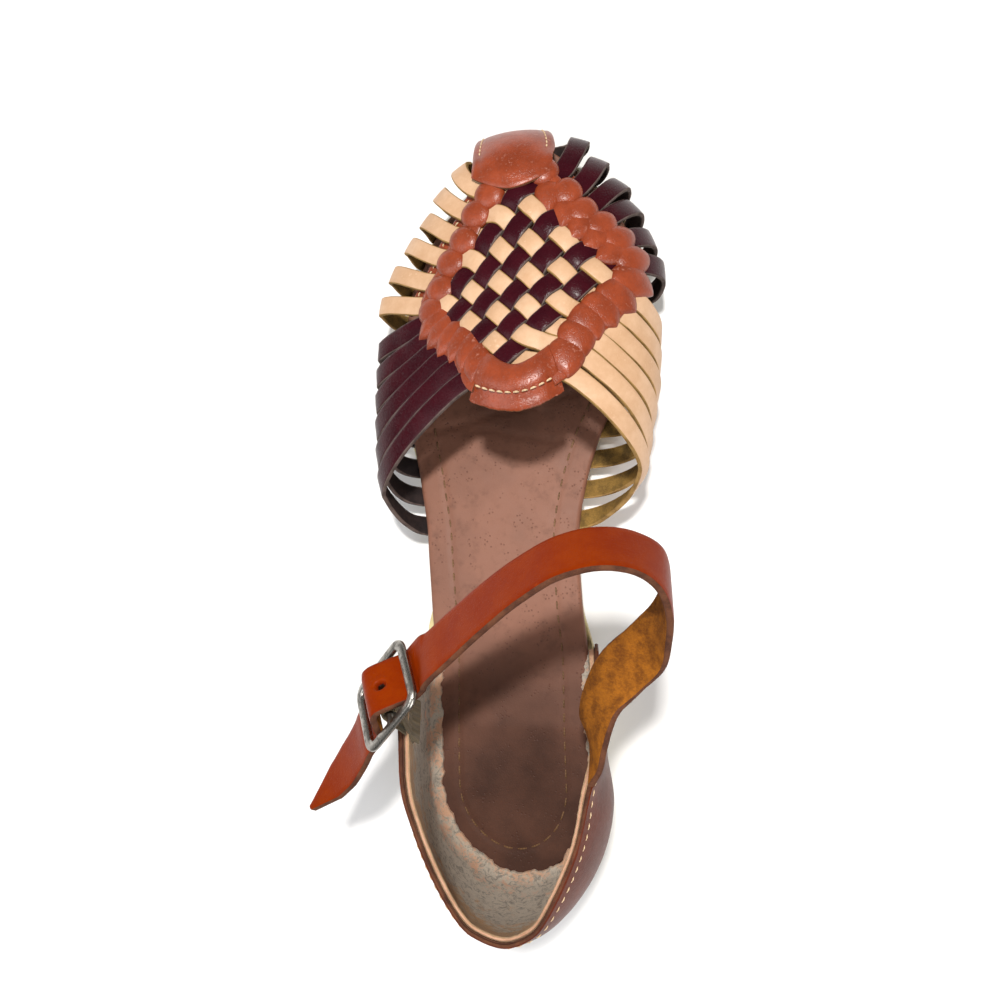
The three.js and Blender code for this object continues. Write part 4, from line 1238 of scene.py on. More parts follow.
@dataclass
class Outsole:
    """The moulded unit: rounded edges, and a fine groove round its side."""

    last: Last
    groove_drop: float = 1.7
    groove_depth: float = 0.35
    corner: float = 1.2
    edge_height: float = 2.0
    groove_half: float = 0.45
    brow_drop: float = 0.6
    growth_back: float = 3.5
    growth_front: float = 1.5

    def build(self) -> None:
        """Lofts the sole through sections across it, each a rounded box with a groove.

        A row of a section is a share of the half width, an inset from it, and a level.
        """
        last = self.last
        back = last.insole_back - self.growth_back
        front = last.insole_front + self.growth_front
        breast = last.heel_breast + np.array([-0.2, 0.2, 0.6, 1.2, 1.8, 2.2])
        y = np.sort(np.concatenate([last.stations(back, front, 70), breast]))
        low, high = last.outline(y, last.sole_growth.at("lateral", y), last.sole_growth.at("medial", y),
                                 self.growth_back, self.growth_front)
        top, bottom = last.sole_top(y), last.sole_bottom(y)
        middle, half = (low + high) / 2, (high - low) / 2
        turn = np.radians(np.linspace(0, 90, 4))
        inset = np.minimum(self.corner, half * 0.4)
        none = np.zeros_like(y)
        groove_level = top - self.groove_drop
        floor = [(share, none, bottom) for share in np.linspace(-0.94, 0.94, 9)]
        foot = [(1.0, inset * (1 - math.sin(a)), bottom + self.edge_height * (1 - math.cos(a)))
                for a in turn]
        groove = [(1.0, none + depth, groove_level + rise)
                  for depth, rise in ((0, -self.groove_half), (self.groove_depth, 0), (0, self.groove_half))]
        brow = [(1.0, inset * 0.5 * (1 - math.cos(a)), top - self.brow_drop * (1 - math.sin(a)))
                for a in turn]
        right = foot + groove + brow
        left = [(-share, -shift, z) for share, shift, z in right[::-1]]
        roof = [(share, none, top) for share in np.linspace(0.9, -0.9, 9)]
        section = floor + right + roof + left
        rings = np.stack([
            np.stack([middle + share * half - shift, y, z], -1) for share, shift, z in section
        ], 1)
        make_piece("outsole_unit", loft(rings), [MouldedSole().material()], "outsole", 50)


@dataclass
class Insole:
    """The covered insole: a rounded edge, a sewn line round it, and creases under the toes."""

    last: Last
    seam_inset: float = 8.6
    seam_depth: float = 0.3
    crease_rows: tuple[Triple, ...] = ((128.0, 10.0, 0.55), (119.0, -6.0, 0.35))
    footprint_press: float = 0.7
    edge: float = 1.4
    rebate: float = 2.0
    heel_shade: tuple[float, float] = (56.0, 52.0)

    def surface(self, x: Array, y: Array, loop: Array) -> Array:
        """Returns the rise of the cover over the outsole's top.

        It is level, less a soft trough under heel and ball, a narrow groove along the seam, and
        soft creases that run across the tread on a slant.

        Args:
            x: Places across.
            y: Places along.
            loop: Rows of x and y of the seam.

        Returns:
            The rise at each place.
        """
        last = self.last
        spots = np.stack([x, y], -1).reshape(-1, 1, 2)
        gaps = np.concatenate([
            np.linalg.norm(part - loop[None], axis=-1).min(axis=1) for part in np.array_split(spots, 12)
        ]).reshape(x.shape)
        groove = self.seam_depth * np.exp(-(gaps / 0.75) ** 2)
        heel = self.footprint_press * np.exp(-(((x - 2) / 15) ** 2 + ((y - 2) / 24) ** 2))
        ball = self.footprint_press * np.exp(-(((x - 4) / 22) ** 2 + ((y - 145) / 26) ** 2))
        crease = sum(
            depth * np.exp(-((y - row - slant * x / 40 - 0.8 * ripple(x, 3, 30)) / 0.9) ** 2)
            for row, slant, depth in self.crease_rows
        )
        return last.insole_rise - groove - heel - ball - crease

    def build(self, leathers: Leathers) -> None:
        """Lofts the insole and lays its stitches.

        Args:
            leathers: The shared finishes.
        """
        last = self.last
        y = last.stations(last.insole_back, last.insole_front, 150)
        low, high = last.outline(y)
        middle, half = (low + high) / 2, (high - low) / 2
        loop = last.inset_loop(self.seam_inset, 0.8)
        bevel = np.minimum(self.edge, half * 0.35)
        level = last.sole_top(y)
        shares = np.linspace(1, -1, 61)
        top_x = middle[:, None] + shares[None, :] * (half - bevel)[:, None]
        top_y = np.broadcast_to(y[:, None], top_x.shape)
        rise = self.surface(top_x, top_y, loop)
        top = np.stack([top_x, top_y, level[:, None] + rise], -1)
        bend = np.radians(np.linspace(0, 90, 5))[:-1]
        inward = bevel[:, None] * (1 - np.cos(bend))
        edge_z = level[:, None] + last.insole_rise - self.edge * (1 - np.sin(bend))
        edge_y = np.broadcast_to(y[:, None], edge_z.shape)
        right, left = (
            np.stack([middle[:, None] + side * (half[:, None] - inward), edge_y, edge_z], -1)
            for side in (1, -1)
        )
        under = np.stack([
            np.stack([middle + share * half, y, level + self.rebate], -1) for share in (-1, -0.4, 0.4, 1)
        ], 1)
        rings = np.concatenate([under, right, top, left[:, ::-1]], axis=1)
        # Painted shade: the heel tone darkens the cover towards the back, like the shade in the heel cup;
        # the tread tone is foot marks.
        heel = ease((self.heel_shade[0] - rings[..., 1]) / self.heel_shade[1])
        tread = np.exp(-(((rings[..., 0]) / 30) ** 2 + ((rings[..., 1] - 150) / 30) ** 2))
        cover = loft(rings, tone=0.85 * heel + 0.75 * tread)
        make_piece("insole_cover", cover, [InsoleCover().material()], "insole", 60)
        sewn = last.inset_loop(self.seam_inset, 1.0)
        height = last.sole_top(sewn[:, 1]) + last.insole_rise - self.seam_depth
        path = np.concatenate([sewn, height[:, None]], axis=1)
        path[:, 2] -= self.footprint_press * 0.25
        normals = np.tile([0.0, 0.0, 1.0], (len(path), 1))
        make_piece("insole_stitches", stitches(path, normals, 3.4, 1.3, 0.32, 0.0),
                   [leathers.insole_thread], "insole")


# ---- Woven straps ----


@dataclass(frozen=True)
class Fan:
    """Six strap ends on one side: their angles at the frame, and y at the belt line and the tuck.

    level says how far the ends lie with their width level, as folded straps do, and not along
    the form. roll tilts each over its neighbour.
    """

    side: Side
    angles: tuple[float, ...]
    belts: tuple[float, ...]
    tucks: tuple[float, ...]
    level: float = 0.0
    roll: float = 0.0


@dataclass
class WovenStraps:
    """Twelve straps: six cream ones from the lateral toes to the medial waist, and six burgundy.

    Each runs in one length from its tuck over the belt line, under the frame, through the weave
    and down to its other tuck.
    """

    last: Last
    plan: FramePlan
    count: int = 6
    corners: tuple[tuple[float, float], ...] = ((5.3, 192.6), (29.8, 165.6), (-16.9, 158.5), (4.9, 139.4))
    thickness: float = 1.5
    lift: float = 1.75
    cream_width: float = 6.3
    burgundy_width: float = 6.7
    step: float = 0.75
    ease_window: int = 11
    fans: dict[str, Fan] = field(default_factory=lambda: {
        "cream_front": Fan(Side.LATERAL, (113, 127, 146, 165, 182, 195),
                           (208, 200, 191.6, 183, 173.4, 162.6),
                           (208, 199, 189.8, 180.6, 170.6, 158.8), 1.0),
        "cream_rear": Fan(Side.MEDIAL, (350, 337.8, 325.6, 313.4, 301.2, 289),
                          (149, 139.8, 130.6, 121.4, 112.2, 103),
                          (142, 131.4, 120.8, 110.2, 99.6, 89), 0.0, 9.0),
        "burgundy_front": Fan(Side.MEDIAL, (76, 62, 46, 34, 20, 8),
                              (214.8, 207.3, 199.3, 191.3, 180.7, 170.7),
                              (215.2, 206.8, 197.8, 188.7, 177.7, 166.5), 1.0),
        "burgundy_rear": Fan(Side.LATERAL, (203, 211.8, 220.6, 229.4, 238.2, 247),
                             (147, 137.8, 128.6, 119.2, 109.6, 100),
                             (139, 129, 118, 107, 97, 86.5), 0.0, -10.0),
    })

    def crossing(self, cream: int, burgundy: int) -> Array:
        """Returns where two straps cross, bilinear between the weave's corners.

        Args:
            cream: The cream strap's number.
            burgundy: The burgundy strap's number.

        Returns:
            x and y.
        """
        s, t = cream / (self.count - 1), burgundy / (self.count - 1)
        a, b, c, d = (np.array(corner) for corner in self.corners)
        return (a * (1 - t) + b * t) * (1 - s) + (c * (1 - t) + d * t) * s

    def leg(self, fan: Fan, index: int) -> tuple[Array, Array]:
        """Carries one strap end from the weave's edge to the end of the tuck.

        y goes smoothly with the travel through its values at the edge, the belt line and the
        tuck. Where the ends are folded it goes evenly with x down to the belt line.

        Args:
            fan: The fan it belongs to.
            index: Which end of the fan.

        Returns:
            Rows of y and signed turn, and the level direction across the end.
        """
        last, side = self.last, fan.side.value
        angle, belt, tuck = fan.angles[index], fan.belts[index], fan.tucks[index]
        x0, y0 = self.plan.plan(angle, self.plan.radius(angle, "wall") - 6.0)
        start = max(0.0, side * float(last.turn_at(x0, y0)))
        turns = np.concatenate([np.linspace(start, 1, 8), [1.2, 1.45, 1.7, 1.9, 2.05, 2.4]])
        spots = last.point(np.full(len(turns), (y0 + belt) / 2), side * turns)
        travel = travel_along(spots)
        ways = Table("way y", [(0, y0), (travel[7], belt), (travel[-2], tuck), (travel[-1] + 4, tuck)])
        level_share = np.clip((spots[:, 0] - spots[0, 0]) / (spots[7, 0] - spots[0, 0]), 0, 1)
        level = np.where(turns < 1, mix(y0, belt, level_share), ways.at("y", travel))
        y = mix(ways.at("y", travel), level, fan.level)
        reach = last.point(belt, side * 1)[:2] - np.array([x0, y0])
        across = unit(np.array([-reach[1], reach[0], 0.0]) * side)
        return np.stack([y, side * turns], axis=1)[1:], across

    def route(self, first: Fan, second: Fan, index: int, crossings: Array,
              tops: Array) -> tuple[Array, Array, Array, Array]:
        """Carries one strap over the form.

        Args:
            first: The fan at its front end.
            second: The fan at its rear end.
            index: Which strap of the fan.
            crossings: x and y of its six crossings, front to rear.
            tops: Whether it is on top at each.

        Returns:
            The middle line, the directions across and out of it, and the share of weave.
        """
        last = self.last
        ahead, ahead_across = self.leg(first, index)
        behind, _ = self.leg(second, index)
        ahead = ahead[::-1]
        turns = last.turn_at(crossings[:, 0], crossings[:, 1])
        woven = np.stack([crossings[:, 1], turns], axis=1)
        knots = np.concatenate([ahead, woven, behind])
        spots = last.point(knots[:, 0], knots[:, 1])
        key = travel_along(spots)
        places = np.arange(0, key[-1], self.step)
        track = smooth_path(knots, key, places)
        at = key[len(ahead):len(ahead) + self.count]
        free = ease((at[0] - 5 - places) / 6) + ease((places - at[-1] - 5) / 6)
        eased = track[:, 0]
        window = np.ones(self.ease_window) / self.ease_window
        for _ in range(3):
            padded = np.pad(eased, self.ease_window // 2, mode="edge")
            eased = mix(eased, np.convolve(padded, window, mode="valid"), free)
        track[:, 0] = eased
        line = last.point(track[:, 0], track[:, 1])
        out = last.normal(track[:, 0], track[:, 1])
        crown, flat = 0.18, 0.26 * np.diff(at).mean()
        flare = 0.75 + first.level
        stops, levels = [0.0, key[2], key[6], at[0] - 8.0], [0.0, 0.0, flare, 0.6]
        for spot, top in zip(at, tops):
            level = self.lift if top else 0.1
            sign = 1 if top else -1
            stops += [spot - flat, spot, spot + flat]
            levels += [level - crown * sign * 0.6, level + crown * sign * 0.4, level - crown * sign * 0.6]
        stops += [at[-1] + 8.5, at[-1] + 15.0, at[-1] + 26.0, key[-1]]
        levels += [0.55, 0.75, 0.0, 0.0]
        height = Table("place level", list(zip(stops, levels))).at("level", places)
        centre = line + out * height[:, None]
        run = unit(np.gradient(centre, axis=0))
        across = unit(np.cross(square_to(out, run), run))
        folded = (first.level * ease((at[0] - 5 - places) / 9))[:, None]
        sign = np.sign(np.sum(across * ahead_across, axis=1, keepdims=True))
        across = square_to(mix(across, ahead_across * sign, folded), run)
        out = unit(np.cross(run, across))
        rear = ease((places - at[-1] - 4) / 8) * ease((key[-1] - 22 - places) / 20)
        lean = np.radians(second.roll) * rear
        across, out = (across * np.cos(lean)[:, None] + out * np.sin(lean)[:, None],
                       out * np.cos(lean)[:, None] - across * np.sin(lean)[:, None])
        woven_share = ease((places - at[0] + 6) / 3) * ease((at[-1] + 6 - places) / 3)
        return centre, across, out, woven_share

    def ribbon(self, centre: Array, across: Array, out: Array, width: float, woven: Array,
               tone: float) -> Skin:
        """Lofts a strap: a crowned top, rounded edges and a flat flesh side.

        Args:
            centre: The middle of the flesh side.
            across: The direction across.
            out: The direction out of the grain side.
            width: The strap's width.
            woven: 1 in the weave and 0 in the legs; the crown is higher in the weave.
            tone: The strap's own shade.

        Returns:
            The strap's skin, with finishes 0 grain, 1 flesh and 2 edge.
        """
        top = np.array([-0.9, -0.72, -0.4, 0, 0.4, 0.72, 0.9])
        crown = mix(0.12, 0.34, woven)[:, None] * (1 - (top / 0.9) ** 2)
        low, levels = np.array([
            (0.985, 0.82), (1, 0.5), (0.985, 0.16), (0.86, 0), (0, 0),
            (-0.86, 0), (-0.985, 0.16), (-1, 0.5), (-0.985, 0.82),
        ]).T
        shares = np.concatenate([top, low])
        under = np.tile(levels * self.thickness, (len(centre), 1))
        height = np.concatenate([self.thickness - 0.04 + crown, under], axis=1)
        offset = (shares * width / 2)[None, :, None]
        rings = centre[:, None] + across[:, None] * offset + out[:, None] * height[..., None]
        finish = [0] * 6 + [2] * 4 + [1] * 2 + [2] * 4
        return loft(rings, finish, 2, tone=tone + 0.25 * ease((np.abs(shares) - 0.7) / 0.3))

    def build(self, leathers: Leathers) -> None:
        """Builds the twelve straps, each on top at every other crossing.

        Args:
            leathers: The shared finishes.
        """
        tones = np.random.default_rng(SEED).uniform(0, 0.28, 2 * self.count)
        others = np.arange(self.count)
        kinds = (
            ("cream", self.cream_width, [leathers.cream, leathers.cream_suede, leathers.cream_edge]),
            ("burgundy", self.burgundy_width,
             [leathers.burgundy, leathers.burgundy_suede, leathers.burgundy_edge]),
        )
        for kind, (dye, width, finishes) in enumerate(kinds):
            for index in range(self.count):
                pairs = [(index, other) if kind == 0 else (other, index) for other in others]
                crossings = np.array([self.crossing(*pair) for pair in pairs])
                tops = (index + others + kind) % 2 == 1
                *line, woven = self.route(self.fans[dye + "_front"], self.fans[dye + "_rear"], index,
                                          crossings, tops)
                skin = self.ribbon(*line, width, woven, tones[kind * self.count + index])
                make_piece(f"strap_{dye}_{index + 1}", skin, finishes, "upper")


# ---- Vamp frame ----


@dataclass(frozen=True)
class LobeRow:
    """A row of puffed lobes along the frame.

    spots gives each one's angle and radius about the frame's centre, heading is the way they
    point as seen from there, and tip and points say how sharp one end or both ends are.
    """

    spots: tuple[tuple[float, float], ...]
    heading: float
    length: float
    width: float
    tip: float
    points: float
    height: float
    lift: float = 2.0


@dataclass
class VampFrame:
    """The cognac leather round the weave: a low band, puffed lobes on it, and the two tabs."""

    last: Last
    plan: FramePlan
    lobe_rows: tuple[LobeRow, ...] = (
        LobeRow(((113, 30), (126.5, 27.2), (146, 24.2), (165, 25.3), (184, 27.8), (197, 31.6)),
                0, 5.2, 5.1, 0.0, 0.0, 2.3),
        LobeRow(((74, 25.8), (56, 22.4), (40, 21.6), (26, 23.4), (13, 26.4)), 200, 5.8, 4.6, 0.8, 0, 1.9),
        LobeRow(((82, 34.6), (65, 29.2), (49, 26.2), (34, 27.3), (21, 29.8), (8, 32.2)),
                20, 5.2, 5.0, 0.2, 0.0, 2.3),
        LobeRow(((205, 32.4), (212.5, 31.6), (220, 30.4), (228, 29.4), (236.5, 29.8), (245, 31.8)),
                20, 7.2, 4.5, 0.55, 0.35, 2.0),
        LobeRow(((355, 32), (343, 29), (331, 26.8), (319.5, 25.8), (307.5, 27.6), (296, 31.2)),
                -22, 6.6, 5.6, 0.55, 0.0, 2.1),
    )
    margin: float = 3.4
    tab_half_count: int = 15
    toe_front: tuple[tuple[float, ...], ...] = (
        (209.2, 34.6, -10.4, 15.9, 3.0), (214.6, 29.0, -10.8, 14.9, 2.2),
        (218.6, 22.2, -11.1, 13.2, 1.6), (220.0, 15.2, -11.0, 12.0, 0.6),
    )

    def lobe(self, x: float, y: float, heading: float, row: LobeRow) -> Skin:
        """Makes a puffed lobe over the form.

        From above it is the curve x = cos(t), y = sin(t) sin(t / 2) ^ tip |sin(t)| ^ points, a
        circle whose ends draw to a point. Its height falls from the middle as
        (1 - r ^ 2.8) ^ 0.62.

        Args:
            x: Its middle's x.
            y: Its middle's y.
            heading: The direction of its point, in degrees.
            row: Its sizes.

        Returns:
            The closed lobe.
        """
        turn = np.linspace(0, 2 * math.pi, 29)[:-1]
        side = np.sin(turn) * np.sin(turn / 2) ** row.tip * np.abs(np.sin(turn)) ** row.points
        side = side / np.abs(side).max() * row.width
        front = np.cos(turn) * row.length
        aim = math.radians(heading)
        plan_x = front * math.cos(aim) - side * math.sin(aim)
        plan_y = front * math.sin(aim) + side * math.cos(aim)
        reach = np.array([0.03, 0.2, 0.4, 0.58, 0.74, 0.86, 0.94, 0.985, 1.0, 0.97, 0.5])
        dome = row.height * (1 - np.minimum(reach, 1) ** 2.8) ** 0.62
        dome[9:] = -0.9
        rings = self.last.over(
            x + reach[:, None] * plan_x[None, :], y + reach[:, None] * plan_y[None, :],
            (row.lift + dome)[:, None],
        )
        # Painted shade: the tone rises towards each lobe's rim, darkening the creases between lobes.
        tone = np.broadcast_to((0.35 * ease((reach - 0.75) / 0.25))[:, None], rings.shape[:2])
        return loft(rings, tone=tone)

    def lobes(self) -> Skin:
        """Makes every row of lobes.

        Returns:
            The lobes as one skin.
        """
        made = []
        for row in self.lobe_rows:
            for angle, radius in row.spots:
                x, y = self.plan.plan(angle, radius)
                made.append(self.lobe(float(x), float(y), angle + row.heading, row))
        return joined(made)

    def band(self, first: float, final: float, inner_shift: float, outer_shift: float, low: float,
             high: float, crown: float) -> Skin:
        """Makes a band of the frame between two angles.

        Args:
            first: The angle where it starts.
            final: The angle where it ends.
            inner_shift: How far its inner edge lies outside the frame's inner radius.
            outer_shift: How far its outer edge lies outside the outer radius.
            low: The inner face's distance off the form.
            high: The outer face's distance off the form.
            crown: How much higher its middle is.

        Returns:
            The closed band, with finishes 0 grain and 1 edge.
        """
        angle = np.linspace(first, final, int(abs(final - first)) + 2)
        rough = 0.12 * ripple(angle * 0.6, 5, 9)
        inner = self.plan.radius(angle, "inner") + inner_shift
        outer = self.plan.radius(angle, "outer") + outer_shift + rough
        share = fringe(12, 0.12, 0.04)
        radius = inner[:, None] + (outer - inner)[:, None] * share[None, :]
        x, y = self.plan.plan(angle[:, None], radius)
        rise = high + crown * (1 - (2 * share - 1) ** 2)
        top = self.last.over(x, y, np.broadcast_to(rise, x.shape))
        under = self.last.over(x, y, low)
        top, under = eased_edges(top, under, 0.25, ["first_column", "last_column"])
        return slab(top, under, (0, 1, 1), tone=0.25 * (2 * np.abs(share - 0.5)) ** 4)

    def rear_tab(self) -> Skin:
        """Makes the puffed tab behind the weave, with its raw rear edge.

        Returns:
            The closed tab.
        """
        angle = np.linspace(248.5, 289.5, 60)
        inner = self.plan.radius(angle, "inner") - 0.6 + 1.2 * ease(np.abs(angle - 268) / 26)
        outer = self.plan.radius(angle, "outer") + 0.2 * ripple(angle * 0.75, 2, 7)
        share = fringe(20, 0.06, 0.02)
        radius = inner[:, None] + (outer - inner)[:, None] * share[None, :]
        x, y = self.plan.plan(angle[:, None], radius)
        rise = 3.5 + 1.5 * np.sin(math.pi * np.clip(share * 1.25, 0, 1)) ** 0.8 - 2.0 * share ** 3
        groove = 0.35 * np.exp(-(((1 - share) * (outer - inner).mean() - 4.4) / 0.8) ** 2)
        ends = ease((np.abs(angle - 268.5) - 12) / 8)[:, None]
        top = self.last.over(x, y, (rise - groove)[None, :] - 1.0 * ends)
        under = self.last.over(x, y, (1.6 - 1.3 * share ** 3)[None, :])
        sides = ["first_column", "last_column", "first_row", "last_row"]
        top, under = eased_edges(top, under, 0.2, sides)
        return slab(top, under, (0, 1, 1), tone=0.1 * (2 * np.abs(share - 0.5)) ** 4)

    def toe_rows(self) -> Array:
        """Returns the toe tab's inner face as (row, column, xyz).

        A row of toe_front is y, the middle's height, the two edges' x, and how far the edges
        drop. The columns start on the form along a soft V, run over the form's front, and drop to the
        tuck under the insole.

        Returns:
            The inner face.
        """
        across = np.linspace(-1, 1, 2 * self.tab_half_count + 1)
        start = 194.5 + 5.5 * np.abs(across) ** 1.6
        rows = []
        for share in (0, 0.35, 0.7):
            y = mix(start, 208.0, share)
            x = 2.9 + across * 13.0
            rows.append(np.stack([x, y, self.last.over(x * 0.94, y, 3.3)[:, 2]], -1))
        for y, z, lateral, medial, drop in self.toe_front:
            x = (lateral + medial) / 2 + across * (medial - lateral) / 2
            rows.append(np.stack([x, y + 1.1 * across - 0.7 * across ** 2, z - drop * across ** 2], -1))
        for y in (219.2, 214.4):
            x = 2.0 + across * 11.5
            z = np.full_like(x, self.last.tuck_level(y) - 0.1)
            rows.append(np.stack([x, np.full_like(x, y), z], -1))
        return np.stack(rows)

    def toe_tab(self) -> tuple[Skin, Skin]:
        """Makes the toe tab and the seams along its two sides.

        Returns:
            The tab and its stitches.
        """
        control = self.toe_rows()
        key = travel_along(control[:, self.tab_half_count])
        places = np.concatenate([[0.0, 0.5], np.linspace(1.6, key[-1], 64)])
        flat = smooth_path(control.reshape(len(control), -1), key, places)
        inner = flat.reshape(len(places), -1, 3)
        along = np.gradient(inner, axis=0)
        side = np.gradient(inner, axis=1)
        out = unit(np.cross(side, along))
        out[0] = out[1]
        across = np.linspace(-1, 1, inner.shape[1])
        puff = 0.9 * (1 - across ** 2)[None, :] * ease(places / 6)[:, None]
        puff = puff * (1 - 0.6 * ease((places - 22) / 12))[:, None]
        seam = 0.25 * np.exp(-((np.abs(across) - 0.8) / 0.06) ** 2)[None, :]
        outer = inner + out * (1.5 + puff - seam)[..., None]
        top, low = eased_edges(outer, inner, 0.22, ["first_row", "first_column", "last_column"])
        tone = 0.2 * np.broadcast_to(np.abs(across) ** 6, puff.shape)
        tab = slab(top, low, (0, 1, 1), tone=tone)
        threads = []
        for column in (3, len(across) - 4):
            rows = slice(20, 58)
            threads.append(stitches(outer[rows, column], out[rows, column], 1.7, 0.7, 0.28))
        return tab, joined(threads)

    def seam(self, first: float, final: float, outset: float, level: float,
             sizes: Triple) -> Skin:
        """Lays stitches along the frame.

        Args:
            first: The angle where they start.
            final: The angle where they end.
            outset: How far they lie outside the outer radius.
            level: Their distance off the form.
            sizes: A thread's length, the space between two, and a thread's radius.

        Returns:
            The stitches.
        """
        angle = np.linspace(first, final, 50)
        x, y = self.plan.plan(angle, self.plan.radius(angle, "outer") + outset)
        path = self.last.over(x, y, level)
        return stitches(path, unit(self.last.over(x, y, level + 2.0) - path), *sizes)

    def build(self, leathers: Leathers) -> None:
        """Builds the frame's pieces.

        Args:
            leathers: The shared finishes.
        """
        bands = [self.band(*ends, 0.9, -2.5, 1.9, 2.5, 0.5) for ends in ((100, 250), (286, 444))]
        margins = [self.band(104, 192, 5.0, self.margin, -0.3, 0.4, 0.1),
                   self.band(368, 436, 3.0, self.margin - 0.6, -0.3, 0.4, 0.1)]
        tab, seams = self.toe_tab()
        skins = {
            "frame_lobes": self.lobes(),
            "frame_band": joined(bands),
            "frame_margin": joined(margins),
            "frame_rear_tab": self.rear_tab(),
            "frame_toe_tab": tab,
        }
        for name, skin in skins.items():
            make_piece(name, skin, [leathers.cognac, leathers.cognac_edge], "vamp_frame",
                       70 if name == "frame_lobes" else 42)
        margin_thread = (1.5, 0.55, (1.7, 0.9, 0.28))
        threads = [self.seam(251, 286, -4.4, 4.1, (1.9, 0.75, 0.33)), seams,
                   self.seam(106, 190, *margin_thread), self.seam(370, 434, *margin_thread)]
        make_piece("frame_stitches", joined(threads), [leathers.pale_thread], "vamp_frame")


# ---- Quarter ----


@dataclass
class Quarter:
    """The closed heel counter: outer leather, a stiffener that shows at the rim, and lining."""

    last: Last
    table: Table = field(default_factory=lambda: Table("turn foot rim_x rim_y rise swell", [
        (-6, 47, -30.1, 46.4, 4, 0), (-5, 41, -28.4, 40, 24, 0.6), (-4, 34, -25.8, 31.5, 50.5, 1.5),
        (-3, 16, -24.4, 13.8, 51.5, 2), (-2, 0, -20, 0.5, 53, 2.5), (-1, -21.2, -10, -18.8, 54.5, 4),
        (-0.5, -27.7, -2.9, -26.2, 55.3, 4.6), (0, -30, 6.2, -28.6, 56, 5),
        (0.5, -27.7, 14.4, -25.4, 55.6, 5.6), (1, -21.2, 19.7, -17.9, 55, 6),
        (2, 0, 27.3, 0.5, 54, 6.3), (3, 16, 30.3, 14.2, 53, 3.4), (3.5, 22, 31.8, 20.6, 41, 2.4),
        (4, 28, 32.2, 27, 28, 1.2), (4.7, 36, 31.2, 34.6, 17, 0.6), (6, 47, 29.7, 46.4, 4, 0),
    ]))
    leather: float = 1.15
    stiffener: float = 0.55
    seam_drop: float = 3.2

    def foot(self, turn: Array) -> Array:
        """Returns the insole's outline at the quarter's foot.

        Args:
            turn: Places round the quarter.

        Returns:
            x and y of each.
        """
        y = self.table.at("foot", turn)
        low, high = self.last.outline(y)
        return np.stack([np.where(turn < 0, low, high), y], -1)

    def foot_out(self, turn: Array) -> Array:
        """Returns the level direction square to that outline, away from the foot."""
        run = self.foot(turn + 0.05) - self.foot(turn - 0.05)
        return unit(np.stack([run[..., 1], -run[..., 0], np.zeros_like(turn)], -1))

    def point(self, turn: Array, height: Array) -> Array:
        """Returns points of the outer face.

        They go straight from the foot, at height 0, to the rim, at height 1, and swell outward
        between them as a parabola.

        Args:
            turn: Places round the quarter.
            height: Shares of the way up.

        Returns:
            The points.
        """
        turn, height = np.broadcast_arrays(turn, height)
        last = self.last
        plan = self.foot(turn)
        sole = last.sole_top(plan[..., 1])
        out = self.foot_out(turn)
        foot = np.concatenate([plan, (sole - 0.1)[..., None]], axis=-1)
        foot = foot + out * (last.quarter_thickness + last.gap)
        rim_z = sole + last.insole_rise + self.table.at("rise", turn)
        rim = np.stack([self.table.at("rim_x", turn), self.table.at("rim_y", turn), rim_z], -1)
        swell = self.table.at("swell", turn) * 4 * height * (1 - height)
        return mix(foot, rim, height[..., None]) + out * swell[..., None]

    def layer(self, turn: Array, height: Array, outer: float, inner: float,
              finish: tuple[int, int, int]) -> Skin:
        """Makes one layer between two depths under the outer face.

        Args:
            turn: Places round the quarter.
            height: Shares of the way up.
            outer: The depth of its outer face.
            inner: The depth of its inner face.
            finish: Finishes of the outer face, the inner face and the edge.

        Returns:
            The closed layer.
        """
        base = self.point(turn[:, None], height[None, :])
        out = self.foot_out(np.broadcast_to(turn[:, None], base.shape[:2]))
        top, low = base - out * outer, base - out * inner
        return slab(*eased_edges(top, low, 0.3, ["last_column", "first_row", "last_row"]), finish)

    def lining(self) -> Skin:
        """Makes the lining, whose foot spreads over the insole's edge in a wavy hem.

        Returns:
            The closed lining, with finishes 0 felt and 1 cut edge, and its height as the tone.
        """
        turn = np.linspace(-5.85, 5.85, 190)
        height = np.concatenate([np.linspace(0.16, 0.93, 30), [0.955, 0.97, 0.978]])
        base = self.point(turn[:, None], height[None, :])
        out = self.foot_out(turn)
        depth = self.leather + self.stiffener
        wave = 0.5 * ripple(turn * 22, 4, 44)
        worn = (0.25 * ripple(turn * 22, 9, 12))[:, None] * np.linspace(1, 0.3, len(height))[None, :]
        outer = base - out[:, None] * depth
        inner = base - out[:, None] * (self.last.quarter_thickness + 0.15 + worn)[..., None]
        ends = np.clip((5.85 - np.abs(turn)) / 1.2, 0, 1)
        floor = self.last.sole_top(base[:, 0, 1]) + self.last.insole_rise
        foot_rows, back_rows = [], []
        for share, rise in ((1.0, 0.25), (0.92, 0.75), (0.6, 1.1), (0.25, 2.0), (0.06, 4.0)):
            reach = (3.4 + 1.6 * wave + 0.45 * ripple(turn * 22, 6, 17)) * share * ends
            row = inner[:, 0] - out * reach[:, None]
            row[:, 2] = floor + rise * (0.4 + 0.6 * ends)
            foot_rows.append(row)
            back = outer[:, 0].copy()
            back[:, :2] = row[:, :2] + out[:, :2] * 0.3
            back[:, 2] = floor - 0.8
            back_rows.append(back)
        inner = np.concatenate([np.stack(foot_rows, 1), inner], axis=1)
        outer = np.concatenate([np.stack(back_rows, 1), outer], axis=1)
        level = np.concatenate([np.linspace(0, 0.14, 5), height])
        inner, outer = eased_edges(inner, outer, 0.3, ["last_column", "first_column"])
        return slab(inner, outer, (0, 0, 1), tone=np.broadcast_to(level, inner.shape[:2]))

